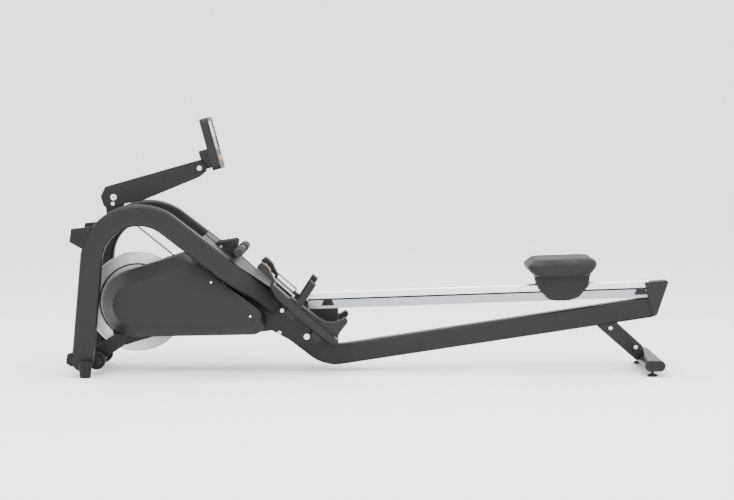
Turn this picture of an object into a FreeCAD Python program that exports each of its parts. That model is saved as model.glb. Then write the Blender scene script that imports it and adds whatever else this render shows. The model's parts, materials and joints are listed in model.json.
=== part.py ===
import FreeCAD, Part
import math
import os
import re
import Sketcher

# Rowing machine, in millimetres.  +X points from the flywheel to the rear foot, +Y to the
# rower's left-hand side when facing the flywheel, +Z up.  The origin lies on the floor under
# the middle of the whole machine.

DRIVING = {
    # overall
    "overall_length": 2227.0, "arch_track": 420.0, "arch_height": 631.0,
    # frame tubes
    "tube_wide": 60.0, "tube_deep": 80.0, "tube_wall": 3.0, "tube_round": 14.0,
    "beam_wide": 70.0, "beam_deep": 76.0, "beam_round": 10.0, "beam_clear": 18.0,
    "slope": 37.5, "leg_lean": 5.1, "leg_setback": 60.0, "bend_radius": 122.0,
    "plate_thick": 8.0,
    # flywheel and drive
    "axle_setback": 241.0, "axle_height": 258.0, "flywheel_radius": 186.0,
    "flywheel_thick": 24.0, "axle_radius": 8.0, "collar_radius": 14.0, "running_fit": 0.05, "gap": 0.3,
    "drum_ahead": 234.0, "drum_height": 291.0, "drum_radius": 45.0, "drive_radius": 80.0,
    "small_radius": 16.0, "belt_wide": 14.0, "belt_thick": 3.0,
    "strap_wide": 25.0, "strap_thick": 3.0, "top_pulley_radius": 25.0, "guide_radius": 16.0,
    # covers
    "cover_wall": 4.0, "cover_back": 20.0, "cover_step": 95.0, "cover_face": 165.0,
    # rail
    "rail_wide": 50.0, "rail_tall": 64.0, "rail_wall": 4.0, "rail_front": 881.0,
    "rail_low": 231.0, "rail_tilt": 1.98, "groove_tall": 6.0, "groove_deep": 5.0,
    # seat
    "seat_back": 391.0, "roller_radius": 12.0, "roller_wide": 14.0, "roller_base": 150.0,
    "seat_pin": 4.0, "seat_wide": 336.0, "seat_long": 262.0,
    # wheels and feet
    "wheel_radius": 32.0, "wheel_wide": 40.0, "wheel_offset": 126.0, "front_tube_radius": 19.0,
    "front_tube_wall": 3.0,
    "foot_tall": 60.0, "rear_bar_long": 480.0, "rear_bar_wide": 75.0, "rear_bar_tall": 39.0,
    "level_stem": 5.0, "level_disc": 20.0, "level_thick": 9.0, "level_offset": 220.0,
    # foot rests
    "toe_setback": 747.0, "toe_height": 343.0, "foot_slope": 41.0, "foot_offset": 155.0,
    "foot_wide": 90.0, "foot_long": 333.0, "foot_deep": 30.0,
    # handle and console
    "hand_setback": 633.0, "hand_height": 455.5, "handle_long": 500.0, "bar_radius": 11.0,
    "arm_wide": 70.0, "arm_wall": 4.0, "arm_length": 320.0, "arm_pin": 8.0,
    "console_wide": 250.0, "console_tall": 196.0, "console_lean": 15.3,
}

DOC = FreeCAD.newDocument("rowing_machine")
SHEET = DOC.addObject("Spreadsheet::Sheet", "Sizes")
NODES = {}
Vector = FreeCAD.Vector
FUNCTIONS = {"sin", "cos", "tan", "sqrt", "deg"}


# ---------------------------------------------------------------- sheet

def fill_column(column, values):
    """Write each value as plain text beside its name, with the name as the cell's alias."""
    for row, (name, value) in enumerate(values.items(), start=1):
        cell = f"{column}{row}"
        SHEET.set(cell, f"{value:.6f}")
        SHEET.setAlias(cell, name)


def polar(angle):
    """Unit vector in the XZ plane, the angle in degrees above +X."""
    return Vector(math.cos(math.radians(angle)), 0, math.sin(math.radians(angle)))


def layout(s):
    """Places of the main axes, worked out from the driving dimensions."""
    front = -s["overall_length"] / 2
    rear = -front
    axle_x = front + s["axle_setback"]
    leg_x = front + s["leg_setback"]
    slope = math.radians(s["slope"])
    lean = math.radians(s["leg_lean"])
    # the arch is one round bend between a leaning leg and a straight run down the slope
    run_x, run_z = axle_x + 286.6, s["arch_height"] - 194.9
    leg_z = s["foot_tall"]
    corner_x = ((run_z + math.tan(slope) * run_x) - leg_z + leg_x / math.tan(lean)) / (
        1 / math.tan(lean) + math.tan(slope))
    corner_z = leg_z + (corner_x - leg_x) / math.tan(lean)
    turn = math.pi / 2 - lean + slope
    drop = corner_z - (s["arch_height"] - s["tube_deep"] / 2)
    half_corner = (math.pi - turn) / 2
    bisector = Vector(math.cos(slope) - math.sin(lean), 0, -math.sin(slope) - math.cos(lean))
    bisector.normalize()
    arch_radius = drop / (-bisector.z / math.sin(half_corner) - 1)
    arch_x = corner_x + bisector.x * arch_radius / math.sin(half_corner)
    arch_z = corner_z + bisector.z * arch_radius / math.sin(half_corner)
    # the beam runs level with the slope at the front and rises gently to the rear
    rear_join_x, rear_join_z = rear - 76.0, 236.0
    nose_x, nose_z = axle_x + 525.0, 197.0
    corner_clear = s["beam_clear"] + s["beam_deep"] / 2
    beam_corner_z = corner_clear - 2.0
    beam_corner_x = nose_x + (nose_z - beam_corner_z) / math.tan(slope)
    beam_angle = math.degrees(math.atan2(rear_join_z - beam_corner_z,
                                         rear_join_x - beam_corner_x))
    rail_front_x = front + s["rail_front"]
    rail_rear_x = rear - 70.0
    tilt = math.radians(s["rail_tilt"])
    seat_x = rear - s["seat_back"]
    seat_rail_z = s["rail_low"] + (seat_x - rail_front_x) * math.tan(tilt)
    toe_x = front + s["toe_setback"]
    hand_x = front + s["hand_setback"]
    return {
        "front": front, "rear": rear, "axle_x": axle_x, "axle_z": s["axle_height"],
        "leg_x": leg_x, "leg_z": leg_z, "run_x": run_x, "run_z": run_z,
        "corner_x": corner_x, "corner_z": corner_z,
        "arch_radius": arch_radius, "arch_x": arch_x, "arch_z": arch_z,
        "arch_y": s["arch_track"] / 2,
        "nose_x": nose_x, "nose_z": nose_z, "beam_corner_x": beam_corner_x,
        "beam_corner_z": beam_corner_z, "beam_angle": beam_angle,
        "join_x": rear_join_x, "join_z": rear_join_z,
        "rail_front_x": rail_front_x, "rail_rear_x": rail_rear_x,
        "rail_length": (rail_rear_x - rail_front_x) / math.cos(tilt),
        "rail_half": s["rail_wide"] / 2,
        "drum_x": axle_x + s["drum_ahead"], "drum_z": s["drum_height"],
        "upper_x": arch_x - 113.0,
        "upper_z": arch_z + math.sqrt(arch_radius ** 2 - 113.0 ** 2),
        "pulley_x": arch_x - 40.0, "pulley_z": s["arch_height"] - 44.0,
        "guide_x": hand_x - 75.0, "guide_z": s["hand_height"] + 12.0,
        "wheel_x": leg_x + 40.5, "wheel_z": leg_z - 12.4,
        "pivot_x": arch_x - 110.0, "pivot_z": s["arch_height"] + 19.0,
        "hand_x": hand_x, "hand_z": s["hand_height"],
        "toe_x": toe_x, "toe_z": s["toe_height"],
        "seat_x": seat_x, "seat_rail_z": seat_rail_z,
        "plate_in": s["beam_wide"] / 2, "plate_out": s["beam_wide"] / 2 + s["plate_thick"],
        "bar_x": rear - 72.0, "bar_z": 40.0, "level_x": rear - 80.0,
    }


def size(text):
    """Number that an expression of sheet names stands for."""
    return float(SHEET.evalExpression(str(text)))


def linked(text):
    """The same expression as another object writes it, with the sheet's name in front."""
    def prefix(match):
        word = match.group(0)
        return word if word in FUNCTIONS else f"Sizes.{word}"
    return re.sub(r"[A-Za-z_]\w*", prefix, str(text))


def bind(thing, **expressions):
    """Bind properties to the sheet; a double underscore stands for a dot."""
    for name, text in expressions.items():
        thing.setExpression(name.replace("__", "."), linked(text))
    return thing


def settle(thing, at, tilt="0", axis=Vector(0, 1, 0)):
    """Place an object at sheet expressions, turned about an axis by a sheet angle."""
    x, y, z = at
    thing.Placement = FreeCAD.Placement(Vector(size(x), size(y), size(z)),
                                        FreeCAD.Rotation(axis, size(tilt)))
    return bind(thing, Placement__Base__x=x, Placement__Base__y=y, Placement__Base__z=z)


def node(name, thing):
    """Register an object as the sub-part that its file is written from."""
    thing.Label = name
    NODES[name] = thing
    return thing


# ---------------------------------------------------------------- feature helpers

def plane_of(body, role):
    return [f for f in body.Origin.OriginFeatures if f.Role == role][0]


def outline_sketch(body, role, points, holes=()):
    """Closed outline through points given as pairs of sheet expressions, plus round holes."""
    sketch = body.newObject("Sketcher::SketchObject", "outline")
    sketch.AttachmentSupport = (plane_of(body, role), [""])
    sketch.MapMode = "FlatFace"
    corners = [Vector(size(a), size(b), 0) for a, b in points]
    count = len(corners)
    for index, corner in enumerate(corners):
        sketch.addGeometry(Part.LineSegment(corner, corners[(index + 1) % count]), False)
    for index in range(count):
        sketch.addConstraint(Sketcher.Constraint("Coincident", index, 2, (index + 1) % count, 1))
    for index, pair in enumerate(points):
        for kind, text in zip(("DistanceX", "DistanceY"), pair):
            pin_point(sketch, kind, index, 1, text)
    for a, b, radius in holes:
        centre = Vector(size(a), size(b), 0)
        ring = sketch.addGeometry(Part.Circle(centre, Vector(0, 0, 1), size(radius)), False)
        pin_point(sketch, "DistanceX", ring, 3, a)
        pin_point(sketch, "DistanceY", ring, 3, b)
        row = sketch.addConstraint(Sketcher.Constraint("Radius", ring, size(radius)))
        sketch.setExpression(f"Constraints[{row}]", linked(radius))
    return sketch


def pin_point(sketch, kind, geometry, point, text):
    """Hold one point of a sketch at a sheet expression from the sketch's origin."""
    row = sketch.addConstraint(Sketcher.Constraint(kind, -1, 1, geometry, point, size(text)))
    sketch.setExpression(f"Constraints[{row}]", linked(text))


def slab(name, points, width, at=("0", "0", "0"), tilt="0", holes=(), edge=None):
    """Outline in the XZ plane, padded to both sides of it; edge rounds the corners along Y."""
    body = DOC.addObject("PartDesign::Body", name)
    sketch = outline_sketch(body, "XZ_Plane", points, holes)
    pad = body.newObject("PartDesign::Pad", "thickness")
    pad.Profile = sketch
    pad.Midplane = True
    bind(pad, Length=width)
    if edge is not None:
        round_along_y(body, pad, edge, len(holes))
    return settle(body, at, tilt)


def round_along_y(body, pad, radius, hole_count):
    """Round the straight edges that run across the slab."""
    DOC.recompute()
    chosen = []
    for number, edge in enumerate(pad.Shape.Edges, start=1):
        straight = isinstance(edge.Curve, Part.Line)
        if straight and abs(edge.tangentAt(edge.FirstParameter).y) > 0.99 and not seam(pad, edge):
            chosen.append(f"Edge{number}")
    fillet = body.newObject("PartDesign::Fillet", "rounding")
    fillet.Base = (pad, chosen)
    bind(fillet, Radius=radius)


def seam(pad, edge):
    """True for the seam line of a round hole."""
    faces = [f for f in pad.Shape.Faces if isinstance(f.Surface, Part.Cylinder)]
    return any(edge.isSame(e) for f in faces for e in f.Edges)


def turned(name, profile, at, tilt="0", axis=Vector(0, 1, 0)):
    """Profile of (radius, distance along the axis) pairs, turned about the local Y axis."""
    body = DOC.addObject("PartDesign::Body", name)
    sketch = outline_sketch(body, "XY_Plane", profile)
    spin = body.newObject("PartDesign::Revolution", "turning")
    spin.Profile = sketch
    spin.ReferenceAxis = (sketch, ["V_Axis"])
    spin.Angle = 360.0
    return settle(body, at, tilt, axis)


def ring(inner, outer, low, high):
    return [(inner, low), (outer, low), (outer, high), (inner, high)]


def rod(name, radius, length, at, direction=Vector(0, 1, 0)):
    """Part cylinder centred on a point, along a fixed direction."""
    thing = DOC.addObject("Part::Cylinder", name)
    bind(thing, Radius=radius, Height=length)
    spot = Vector(*[size(v) for v in at])
    start = spot - direction * size(length) / 2
    thing.Placement = FreeCAD.Placement(start, FreeCAD.Rotation(Vector(0, 0, 1), direction))
    for letter, text, part in zip("xyz", at, direction):
        half = f"({text}) - ({length}) * {part / 2:.4f}"
        thing.setExpression(f"Placement.Base.{letter}", linked(half))
    return thing


def block(name, sides, at, tilt="0"):
    """Part box of three side expressions, centred on a point."""
    thing = DOC.addObject("Part::Box", name)
    bind(thing, Length=sides[0], Width=sides[1], Height=sides[2])
    turn = FreeCAD.Rotation(Vector(0, 1, 0), size(tilt))
    half = turn.multVec(Vector(*[size(v) / 2 for v in sides]))
    spot = Vector(*[size(v) for v in at])
    thing.Placement = FreeCAD.Placement(spot - half, turn)
    return thing


def fused(name, *things):
    whole = DOC.addObject("Part::MultiFuse", name)
    whole.Shapes = list(things)
    return whole


def less(name, base, *tools):
    """Base with every tool cut out of it."""
    for tool in tools:
        result = DOC.addObject("Part::Cut", name)
        result.Base = base
        result.Tool = tool
        base = result
    return base


def mirrored(name, source):
    other = DOC.addObject("Part::Mirroring", name)
    other.Source = source
    other.Normal = Vector(0, 1, 0)
    return other


def together(name, *things):
    """Several like pieces kept in one sub-part as separate solids."""
    whole = DOC.addObject("Part::Compound", name)
    whole.Links = list(things)
    return whole


def feature(name, shape):
    thing = DOC.addObject("Part::Feature", name)
    thing.Shape = shape
    return thing


def both_sides(left_name, right_name, source):
    """A left-hand piece and its mirror image as two sub-parts."""
    node(left_name, source)
    node(right_name, mirrored(right_name, source))


# ---------------------------------------------------------------- shape helpers

def rounded_rectangle(centre, across, up, width, height, radius):
    """Closed wire of a rectangle with round corners, in the plane of across and up."""
    edges = []
    corners = [(1, 1), (-1, 1), (-1, -1), (1, -1)]
    last = None
    first = None
    for a, b in corners:
        hub = centre + across * (a * (width / 2 - radius)) + up * (b * (height / 2 - radius))
        begin = hub + (across * a if a * b > 0 else up * b) * radius
        end = hub + (up * b if a * b > 0 else across * a) * radius
        middle = hub + (across * a + up * b).normalize() * radius
        if last is None:
            first = begin
        else:
            edges.append(Part.LineSegment(last, begin).toShape())
        edges.append(Part.Arc(begin, middle, end).toShape())
        last = end
    edges.append(Part.LineSegment(last, first).toShape())
    return Part.Wire(edges)


def bent_path(start, corner, end, radius):
    """Two straight runs joined by one round bend."""
    into = (corner - start).normalize()
    away = (end - corner).normalize()
    turn = math.acos(max(-1.0, min(1.0, into.dot(away))))
    reach = radius * math.tan(turn / 2)
    first = corner - into * reach
    last = corner + away * reach
    inward = (away - into).normalize()
    middle = corner + inward * (radius / math.cos(turn / 2) - radius)
    return Part.Wire([Part.LineSegment(start, first).toShape(),
                      Part.Arc(first, middle, last).toShape(),
                      Part.LineSegment(last, end).toShape()])


def swept_tube(path, start, direction, width, depth, radius):
    """Rounded rectangle swept along a path that lies in an XZ plane."""
    across = Vector(0, 1, 0)
    section = rounded_rectangle(start, across, across.cross(direction).normalize(),
                                width, depth, radius)
    return path.makePipeShell([section], True, False)


def circle_hull(circles, y):
    """Outline round circles (x, z, r) given clockwise, joined by their outer tangents."""
    edges = []
    touch = []
    count = len(circles)
    for index in range(count):
        x1, z1, r1 = circles[index]
        x2, z2, r2 = circles[(index + 1) % count]
        distance = math.hypot(x2 - x1, z2 - z1)
        heading = math.atan2(z2 - z1, x2 - x1)
        normal = heading + math.pi / 2 - math.asin((r2 - r1) / distance) * -1
        off = (math.cos(normal), math.sin(normal))
        touch.append((Vector(x1 + r1 * off[0], y, z1 + r1 * off[1]),
                      Vector(x2 + r2 * off[0], y, z2 + r2 * off[1]), normal))
    for index in range(count):
        leave, arrive, normal = touch[index]
        edges.append(Part.LineSegment(leave, arrive).toShape())
        next_leave, _, next_normal = touch[(index + 1) % count]
        x, z, r = circles[(index + 1) % count]
        sweep = (normal - next_normal) % (2 * math.pi)
        half = normal - sweep / 2
        middle = Vector(x + r * math.cos(half), y, z + r * math.sin(half))
        edges.append(Part.Arc(arrive, middle, next_leave).toShape())
    return Part.Wire(edges)


def prism(wire, along):
    return Part.Face(wire).extrude(along)


def ruled(low, high):
    return Part.makeLoft([low, high], True, True)


# ---------------------------------------------------------------- frame

def arch_direction():
    """Unit vector down the slope, from the arch towards the beam."""
    return polar(-size("slope"))


def arch_tube(side, shrink=0.0, reach=0.0):
    """Leg, round bend and run down the slope, then a neck that turns in to the plates."""
    y = side * size("arch_y")
    width = size("tube_wide") - 2 * shrink
    depth = size("tube_deep") - 2 * shrink
    radius = size("tube_round") - shrink
    foot = Vector(size("leg_x"), y, size("leg_z") + shrink)
    corner = Vector(size("corner_x"), y, size("corner_z"))
    down = arch_direction()
    turn_in = Vector(size("run_x"), y, size("run_z")) + down * NECK_START
    path = bent_path(foot, corner, turn_in, size("arch_radius"))
    body = swept_tube(path, foot, (corner - foot).normalize(), width, depth, radius)
    across = Vector(0, 1, 0)
    up = down.cross(across) * -1
    landing = turn_in + down * NECK_RUN
    landing.y = side * (size("plate_in") - 2.0 + reach)
    first = rounded_rectangle(turn_in, across, up, width, depth, radius)
    last = rounded_rectangle(landing, across, up, width, depth, radius)
    neck = ruled(first, last)
    return body.fuse(neck)


NECK_START = 90.0
NECK_RUN = 225.0
FOOT_CAP_RADIUS = 40.0


def make_arches():
    wall = size("tube_wall")
    for side, name in ((-1, "arch_left"), (1, "arch_right")):
        outer = arch_tube(side)
        toe = Part.makeCylinder(size("tube_deep") / 2, size("tube_wide"),
                                Vector(size("leg_x"), side * size("arch_y")
                                       - size("tube_wide") / 2, size("leg_z")), Vector(0, 1, 0))
        outer = outer.fuse(toe)
        hollow = arch_tube(side, wall)
        inside = side * size("plate_out")
        keep = Part.makeBox(3000, 600, 1500, Vector(-1500, inside if side > 0 else inside - 600, 0))
        shape = outer.cut(hollow).common(keep)
        node(name, feature(name, shape.removeSplitter()))


def make_front_frame():
    """Cross tube that the transport wheels turn on, its gussets and two struts."""
    centre = ("wheel_x", "0", "wheel_z")
    inner = "arch_track - tube_wide"
    tube = rod("front_tube", "front_tube_radius", inner, centre)
    bore = rod("front_tube_bore", "front_tube_radius - front_tube_wall", inner + " - 8", centre)
    parts = [less("front_tube_shell", tube, bore)]
    gusset = [("leg_x - 22", "leg_z + 6"), ("leg_x + 22", "leg_z + 42"),
              ("wheel_x + 14", "wheel_z + 18"), ("wheel_x + 20", "wheel_z - 4"),
              ("wheel_x", "wheel_z - 21"), ("leg_x - 6", "leg_z - 24")]
    strut = [("wheel_x - 18", "wheel_z + 6"), ("wheel_x + 14", "wheel_z - 4"),
             ("axle_x - 44", "axle_z - 158"), ("axle_x - 30", "axle_z - 138"),
             ("axle_x - 30", "axle_z - 122"), ("axle_x - 77", "axle_z - 116"),
             ("wheel_x - 18", "wheel_z + 40")]
    for side in ("-1", "1"):
        parts.append(slab("gusset", gusset, "8",
                          at=("0", f"{side} * (arch_y - tube_wide / 2 - 4)", "0")))
        parts.append(slab("strut", strut, "20", at=("0", f"{side} * (plate_out + 10)", "0")))
        for edge in ("-1", "1"):
            y = f"{side} * wheel_offset + {edge} * (wheel_wide / 2 + 2)"
            parts.append(rod("collar", "front_tube_radius + 4", "3", ("wheel_x", y, "wheel_z")))
    node("front_frame", fused("front_frame", *parts))


def make_upper_cross():
    """Tube between the arches with the two hangers of the upper strap pulley."""
    inner = "arch_track - tube_wide"
    tube = rod("upper_tube", "30", inner, ("upper_x", "0", "upper_z"))
    bore = rod("upper_bore", "27", inner + " - 8", ("upper_x", "0", "upper_z"))
    shell = less("upper_shell", tube, bore)
    outline = [("upper_x + 10", "upper_z - 22"), ("pulley_x + 12", "pulley_z - 14"),
               ("pulley_x + 14", "pulley_z + 8"), ("pulley_x", "pulley_z + 14"),
               ("upper_x + 8", "upper_z + 26")]
    hangers = [slab("pulley_hanger", outline, "5", at=("0", f"{side} * 19", "0"),
                    holes=[("pulley_x", "pulley_z", "6")]) for side in ("-1", "1")]
    node("upper_cross_tube", fused("upper_cross_tube", shell, *hangers))


PLATE_OUTLINE = [
    ("axle_x - 78", "axle_z - 146"), ("axle_x - 40", "axle_z - 160"), ("axle_x + 120", "axle_z - 110"),
    ("axle_x + 420", "axle_z - 118"), ("nose_x - 20", "nose_z - 45"),
    ("beam_corner_x - 50", "beam_corner_z + 12"), ("beam_corner_x - 8", "beam_corner_z + 52"),
    ("toe_x + 160", "toe_z - 180"), ("toe_x + 88", "toe_z - 106"), ("toe_x + 52", "toe_z - 62"),
    ("toe_x", "toe_z - 70"), ("drum_x + 60", "drum_z + 52"), ("drum_x - 10", "drum_z + 60"),
    ("axle_x + 30", "axle_z + 60"), ("axle_x - 40", "axle_z + 50"), ("axle_x - 90", "axle_z - 110"),
]


def make_core_plates():
    """Side plates that carry the flywheel, the drum, the beam and the foot rests."""
    plate = slab("core_plate", PLATE_OUTLINE, "plate_thick",
                 at=("0", "-(plate_in + plate_out) / 2", "0"),
                 holes=[("axle_x", "axle_z", "collar_radius"), ("drum_x", "drum_z", "7")])
    bars = []
    width = "foot_offset + foot_wide / 2 - plate_out - 6"
    for along in ("130", "255"):
        x = f"toe_x + {along} * cos(foot_slope * 1deg) - (foot_deep + 12) * sin(foot_slope * 1deg)"
        z = f"toe_z - {along} * sin(foot_slope * 1deg) - (foot_deep + 12) * cos(foot_slope * 1deg)"
        bars.append(block("foot_bar", ("40", width, "24"),
                          (x, f"-plate_out - ({width}) / 2", z), "foot_slope"))
    both_sides("core_plate_left", "core_plate_right", fused("core_plate_left", plate, *bars))


def beam_solid(shrink=0.0):
    """The beam from its nose, round the low bend and up to the rear housing."""
    nose = Vector(size("nose_x"), 0, size("nose_z"))
    corner = Vector(size("beam_corner_x"), 0, size("beam_corner_z"))
    rear = Vector(size("rear"), 0, size("beam_corner_z")
                  + (size("rear") - size("beam_corner_x"))
                  * math.tan(math.radians(size("beam_angle"))))
    path = bent_path(nose, corner, rear, size("bend_radius"))
    return swept_tube(path, nose, (corner - nose).normalize(), size("beam_wide") - 2 * shrink,
                      size("beam_deep") - 2 * shrink, size("beam_round") - shrink)


HOUSING = [("rear - 87.5", "331"), ("rear + 2", "338"), ("rear - 41", "211"), ("rear - 58.5", "200")]


def make_beam():
    """Hollow beam, ended where the rear housing starts and under the rail."""
    shape = beam_solid().cut(beam_solid(size("tube_wall")))
    corners = [Vector(size(x), -200, size(z)) for x, z in HOUSING]
    reach = [corners[0], corners[0] + Vector(400, 0, 0), corners[3] + Vector(400, 0, 0), corners[3]]
    far = prism(Part.makePolygon(reach + reach[:1]), Vector(0, 400, 0))
    low = Part.makeBox(600, 400, 400, Vector(corners[3].x, -200, corners[3].z - 400))
    node("main_beam", feature("main_beam", shape.cut(far).cut(low).cut(rail_space())))


def rail_space():
    """Block that the rail fills, from its front end to past the rear of the machine."""
    box = Part.makeBox(size("rail_length") + 300, size("rail_wide") + 40, size("rail_tall") + 60,
                       Vector(0, -size("rail_wide") / 2 - 20, 0))
    box.Placement = rail_placement()
    return box


def rail_placement():
    return FreeCAD.Placement(Vector(size("rail_front_x"), 0, size("rail_low")),
                             FreeCAD.Rotation(Vector(0, 1, 0), -size("rail_tilt")))


def make_rail():
    """Aluminium extrusion with a running groove in each side and two hollow chambers."""
    half = "rail_wide / 2"
    neck = f"{half} - groove_deep"
    low = "rail_tall / 2 + 2 - groove_tall / 2"
    high = "rail_tall / 2 + 2 + groove_tall / 2"
    right = [(half, "0"), (half, low), (neck, low), (neck, high), (half, high),
             (half, "rail_tall - 6"), (f"{half} - 6", "rail_tall")]
    left = [(f"-({y})", z) for y, z in reversed(right)]
    body = DOC.addObject("PartDesign::Body", "rail")
    sketch = outline_sketch(body, "YZ_Plane", right + left)
    pad = body.newObject("PartDesign::Pad", "extrusion")
    pad.Profile = sketch
    bind(pad, Length="rail_length")
    DOC.recompute()
    for name, floor, top in (("lower_chamber", "rail_wall", f"{low} - rail_wall"),
                             ("upper_chamber", f"{high} + rail_wall", "rail_tall - rail_wall - 3")):
        side = f"{half} - rail_wall"
        hole = outline_sketch(body, "YZ_Plane", [(f"-({side})", floor), (side, floor),
                                                 (side, top), (f"-({side})", top)])
        pocket = body.newObject("PartDesign::Pocket", name)
        pocket.Profile = hole
        pocket.Type = "ThroughAll"
        pocket.Reversed = True
    settle(body, ("rail_front_x", "0", "rail_low"), "-rail_tilt")
    node("rail", less("rail", body, slab("housing_room", HOUSING, "200")))


def make_rail_bracket():
    """Saddle between the beam's bend and the underside of the rail."""
    outline = [("rail_front_x + 4", "rail_low - 60"), ("beam_corner_x", "beam_corner_z + 20"),
               ("rail_front_x + 112", "beam_corner_z + 20"),
               ("rail_front_x + 112", "rail_low + 112 * tan(rail_tilt * 1deg)"),
               ("rail_front_x + 4", "rail_low + 4 * tan(rail_tilt * 1deg)")]
    rough = slab("rail_saddle", outline, "rail_wide")
    DOC.recompute()
    cutter = feature("beam_envelope", beam_solid())
    node("rail_bracket", less("rail_bracket", rough, cutter))


def make_rail_stops():
    """Rubber-faced blocks on both sides of the rail that end the seat's travel."""
    outline = [("-24", "-12"), ("24", "-12"), ("13", "12"), ("-13", "12")]
    stops = []
    y = "rail_half + 7"
    for x in ("rail_front_x + 73.5", "rear - 102"):
        z = f"rail_low + 26 + ({x} - rail_front_x) * tan(rail_tilt * 1deg) - 2.5"
        for side in ("-1", "1"):
            stops.append(slab("rail_stop", outline, "14", at=(x, f"{side} * ({y})", z),
                              tilt="-rail_tilt"))
    node("rail_stops", together("rail_stops", *stops))


def make_rear_end():
    """Housing that joins rail and beam, the leg below the beam and the rear foot bar."""
    housing = slab("end_housing", HOUSING, "beam_wide + 10", edge="5")
    node("end_housing", housing)
    leg_outline = [("rear - 265", "167"), ("rear - 265", "205"), ("rear - 190", "215"),
                   ("rear - 190", "180"), ("rear - 95", "94"), ("rear - 80", "40"),
                   ("rear - 119", "40")]
    leg = slab("leg_blank", leg_outline, "60")
    DOC.recompute()
    beam_cut = feature("beam_over_leg", beam_solid())
    bar_cut = feature("bar_over_leg", rear_bar_solid(0.0, 700.0))
    node("rear_leg", less("rear_leg", leg, beam_cut, bar_cut))
    outer = rear_bar_solid(0.0, size("rear_bar_long"))
    inner = rear_bar_solid(3.0, size("rear_bar_long") + 2)
    shape = outer.cut(inner)
    for side in (-1, 1):
        hole = Part.makeCylinder(size("level_stem") + size("running_fit"), 40,
                                 Vector(size("level_x"), side * size("level_offset"), 0))
        shape = shape.cut(hole)
    node("rear_bar", feature("rear_bar", shape))
    caps = []
    for side in (-1, 1):
        end = side * size("rear_bar_long") / 2
        cap = rear_bar_solid(0.0, 10.0)
        cap = cap.makeFillet(4.0, [e for e in cap.Edges if e.BoundBox.YLength < 0.1
                                   and e.CenterOfMass.y * side > 0])
        cap.translate(Vector(0, end + side * 5, 0))
        caps.append(feature("bar_cap", cap))
    node("rear_bar_caps", together("rear_bar_caps", *caps))


def rear_bar_solid(shrink, length):
    """Flat-oval bar across the machine."""
    wide = size("rear_bar_wide") - 2 * shrink
    tall = size("rear_bar_tall") - 2 * shrink
    wire = rounded_rectangle(Vector(size("bar_x"), -length / 2, size("bar_z")), Vector(1, 0, 0),
                             Vector(0, 0, 1), wide, tall, tall / 2 - 0.01)
    return prism(wire, Vector(0, length, 0))


def make_front_feet():
    """Tapered rubber feet beside the legs."""
    feet = []
    profile = [("0", "0"), ("19", "0"), ("26", "54"), ("20", "60"), ("0", "60")]
    for side in ("-1", "1"):
        foot = turned("front_foot", profile, ("leg_x + 14", f"{side} * (arch_y + tube_wide / 2 + 26.3)", "0"),
                      "90", Vector(1, 0, 0))
        feet.append(foot)
    node("front_feet", together("front_feet", *feet))


UPPER_PAD = [("run_x - 506", "541"), ("run_x - 512", "494"), ("run_x - 470", "470"),
             ("run_x - 425", "500"), ("run_x - 434", "548")]
LOWER_PAD = [("leg_x - 56", "82"), ("leg_x - 60", "50"), ("leg_x - 41", "37"),
             ("leg_x - 20", "40"), ("leg_x - 20", "90")]


def make_storage_pads():
    """Rubber pads on the front of the arches, which the machine stands on when stored."""
    DOC.recompute()
    pads = []
    for side in ("-1", "1"):
        body = NODES["arch_left" if side == "-1" else "arch_right"]
        envelope = feature("arch_envelope", arch_envelope(int(side)))
        for outline in (UPPER_PAD, LOWER_PAD):
            blank = slab("pad_blank", outline, "50", at=("0", f"{side} * arch_y", "0"))
            pads.append(less("storage_pad", blank, envelope))
    node("storage_pads", together("storage_pads", *pads))


def arch_envelope(side):
    toe = Part.makeCylinder(size("tube_deep") / 2, size("tube_wide") + 20,
                            Vector(size("leg_x"), side * size("arch_y")
                                   - size("tube_wide") / 2 - 10, size("leg_z")), Vector(0, 1, 0))
    return arch_tube(side).fuse(toe)


def make_wheels():
    bore = "front_tube_radius + running_fit"
    half = "wheel_wide / 2"
    profile = [(bore, f"-({half})"), ("wheel_radius - 4", f"-({half})"),
               ("wheel_radius", f"-({half}) + 4"), ("wheel_radius", f"{half} - 4"),
               ("wheel_radius - 4", half), (bore, half)]
    wheels = [turned("wheel", profile, ("wheel_x", f"{side} * wheel_offset", "wheel_z"))
              for side in ("-1", "1")]
    node("transport_wheels", together("transport_wheels", *wheels))


def make_level_feet():
    for side, name in (("-1", "level_foot_left"), ("1", "level_foot_right")):
        profile = [("0", "0"), ("level_disc", "0"), ("level_disc - 2", "level_thick - 3"),
                   ("12", "level_thick"), ("level_stem", "level_thick"), ("level_stem", "44"),
                   ("0", "44")]
        node(name, turned(name, profile, ("level_x", f"{side} * level_offset", "0"),
                          "90", Vector(1, 0, 0)))


# ---------------------------------------------------------------- drive

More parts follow.
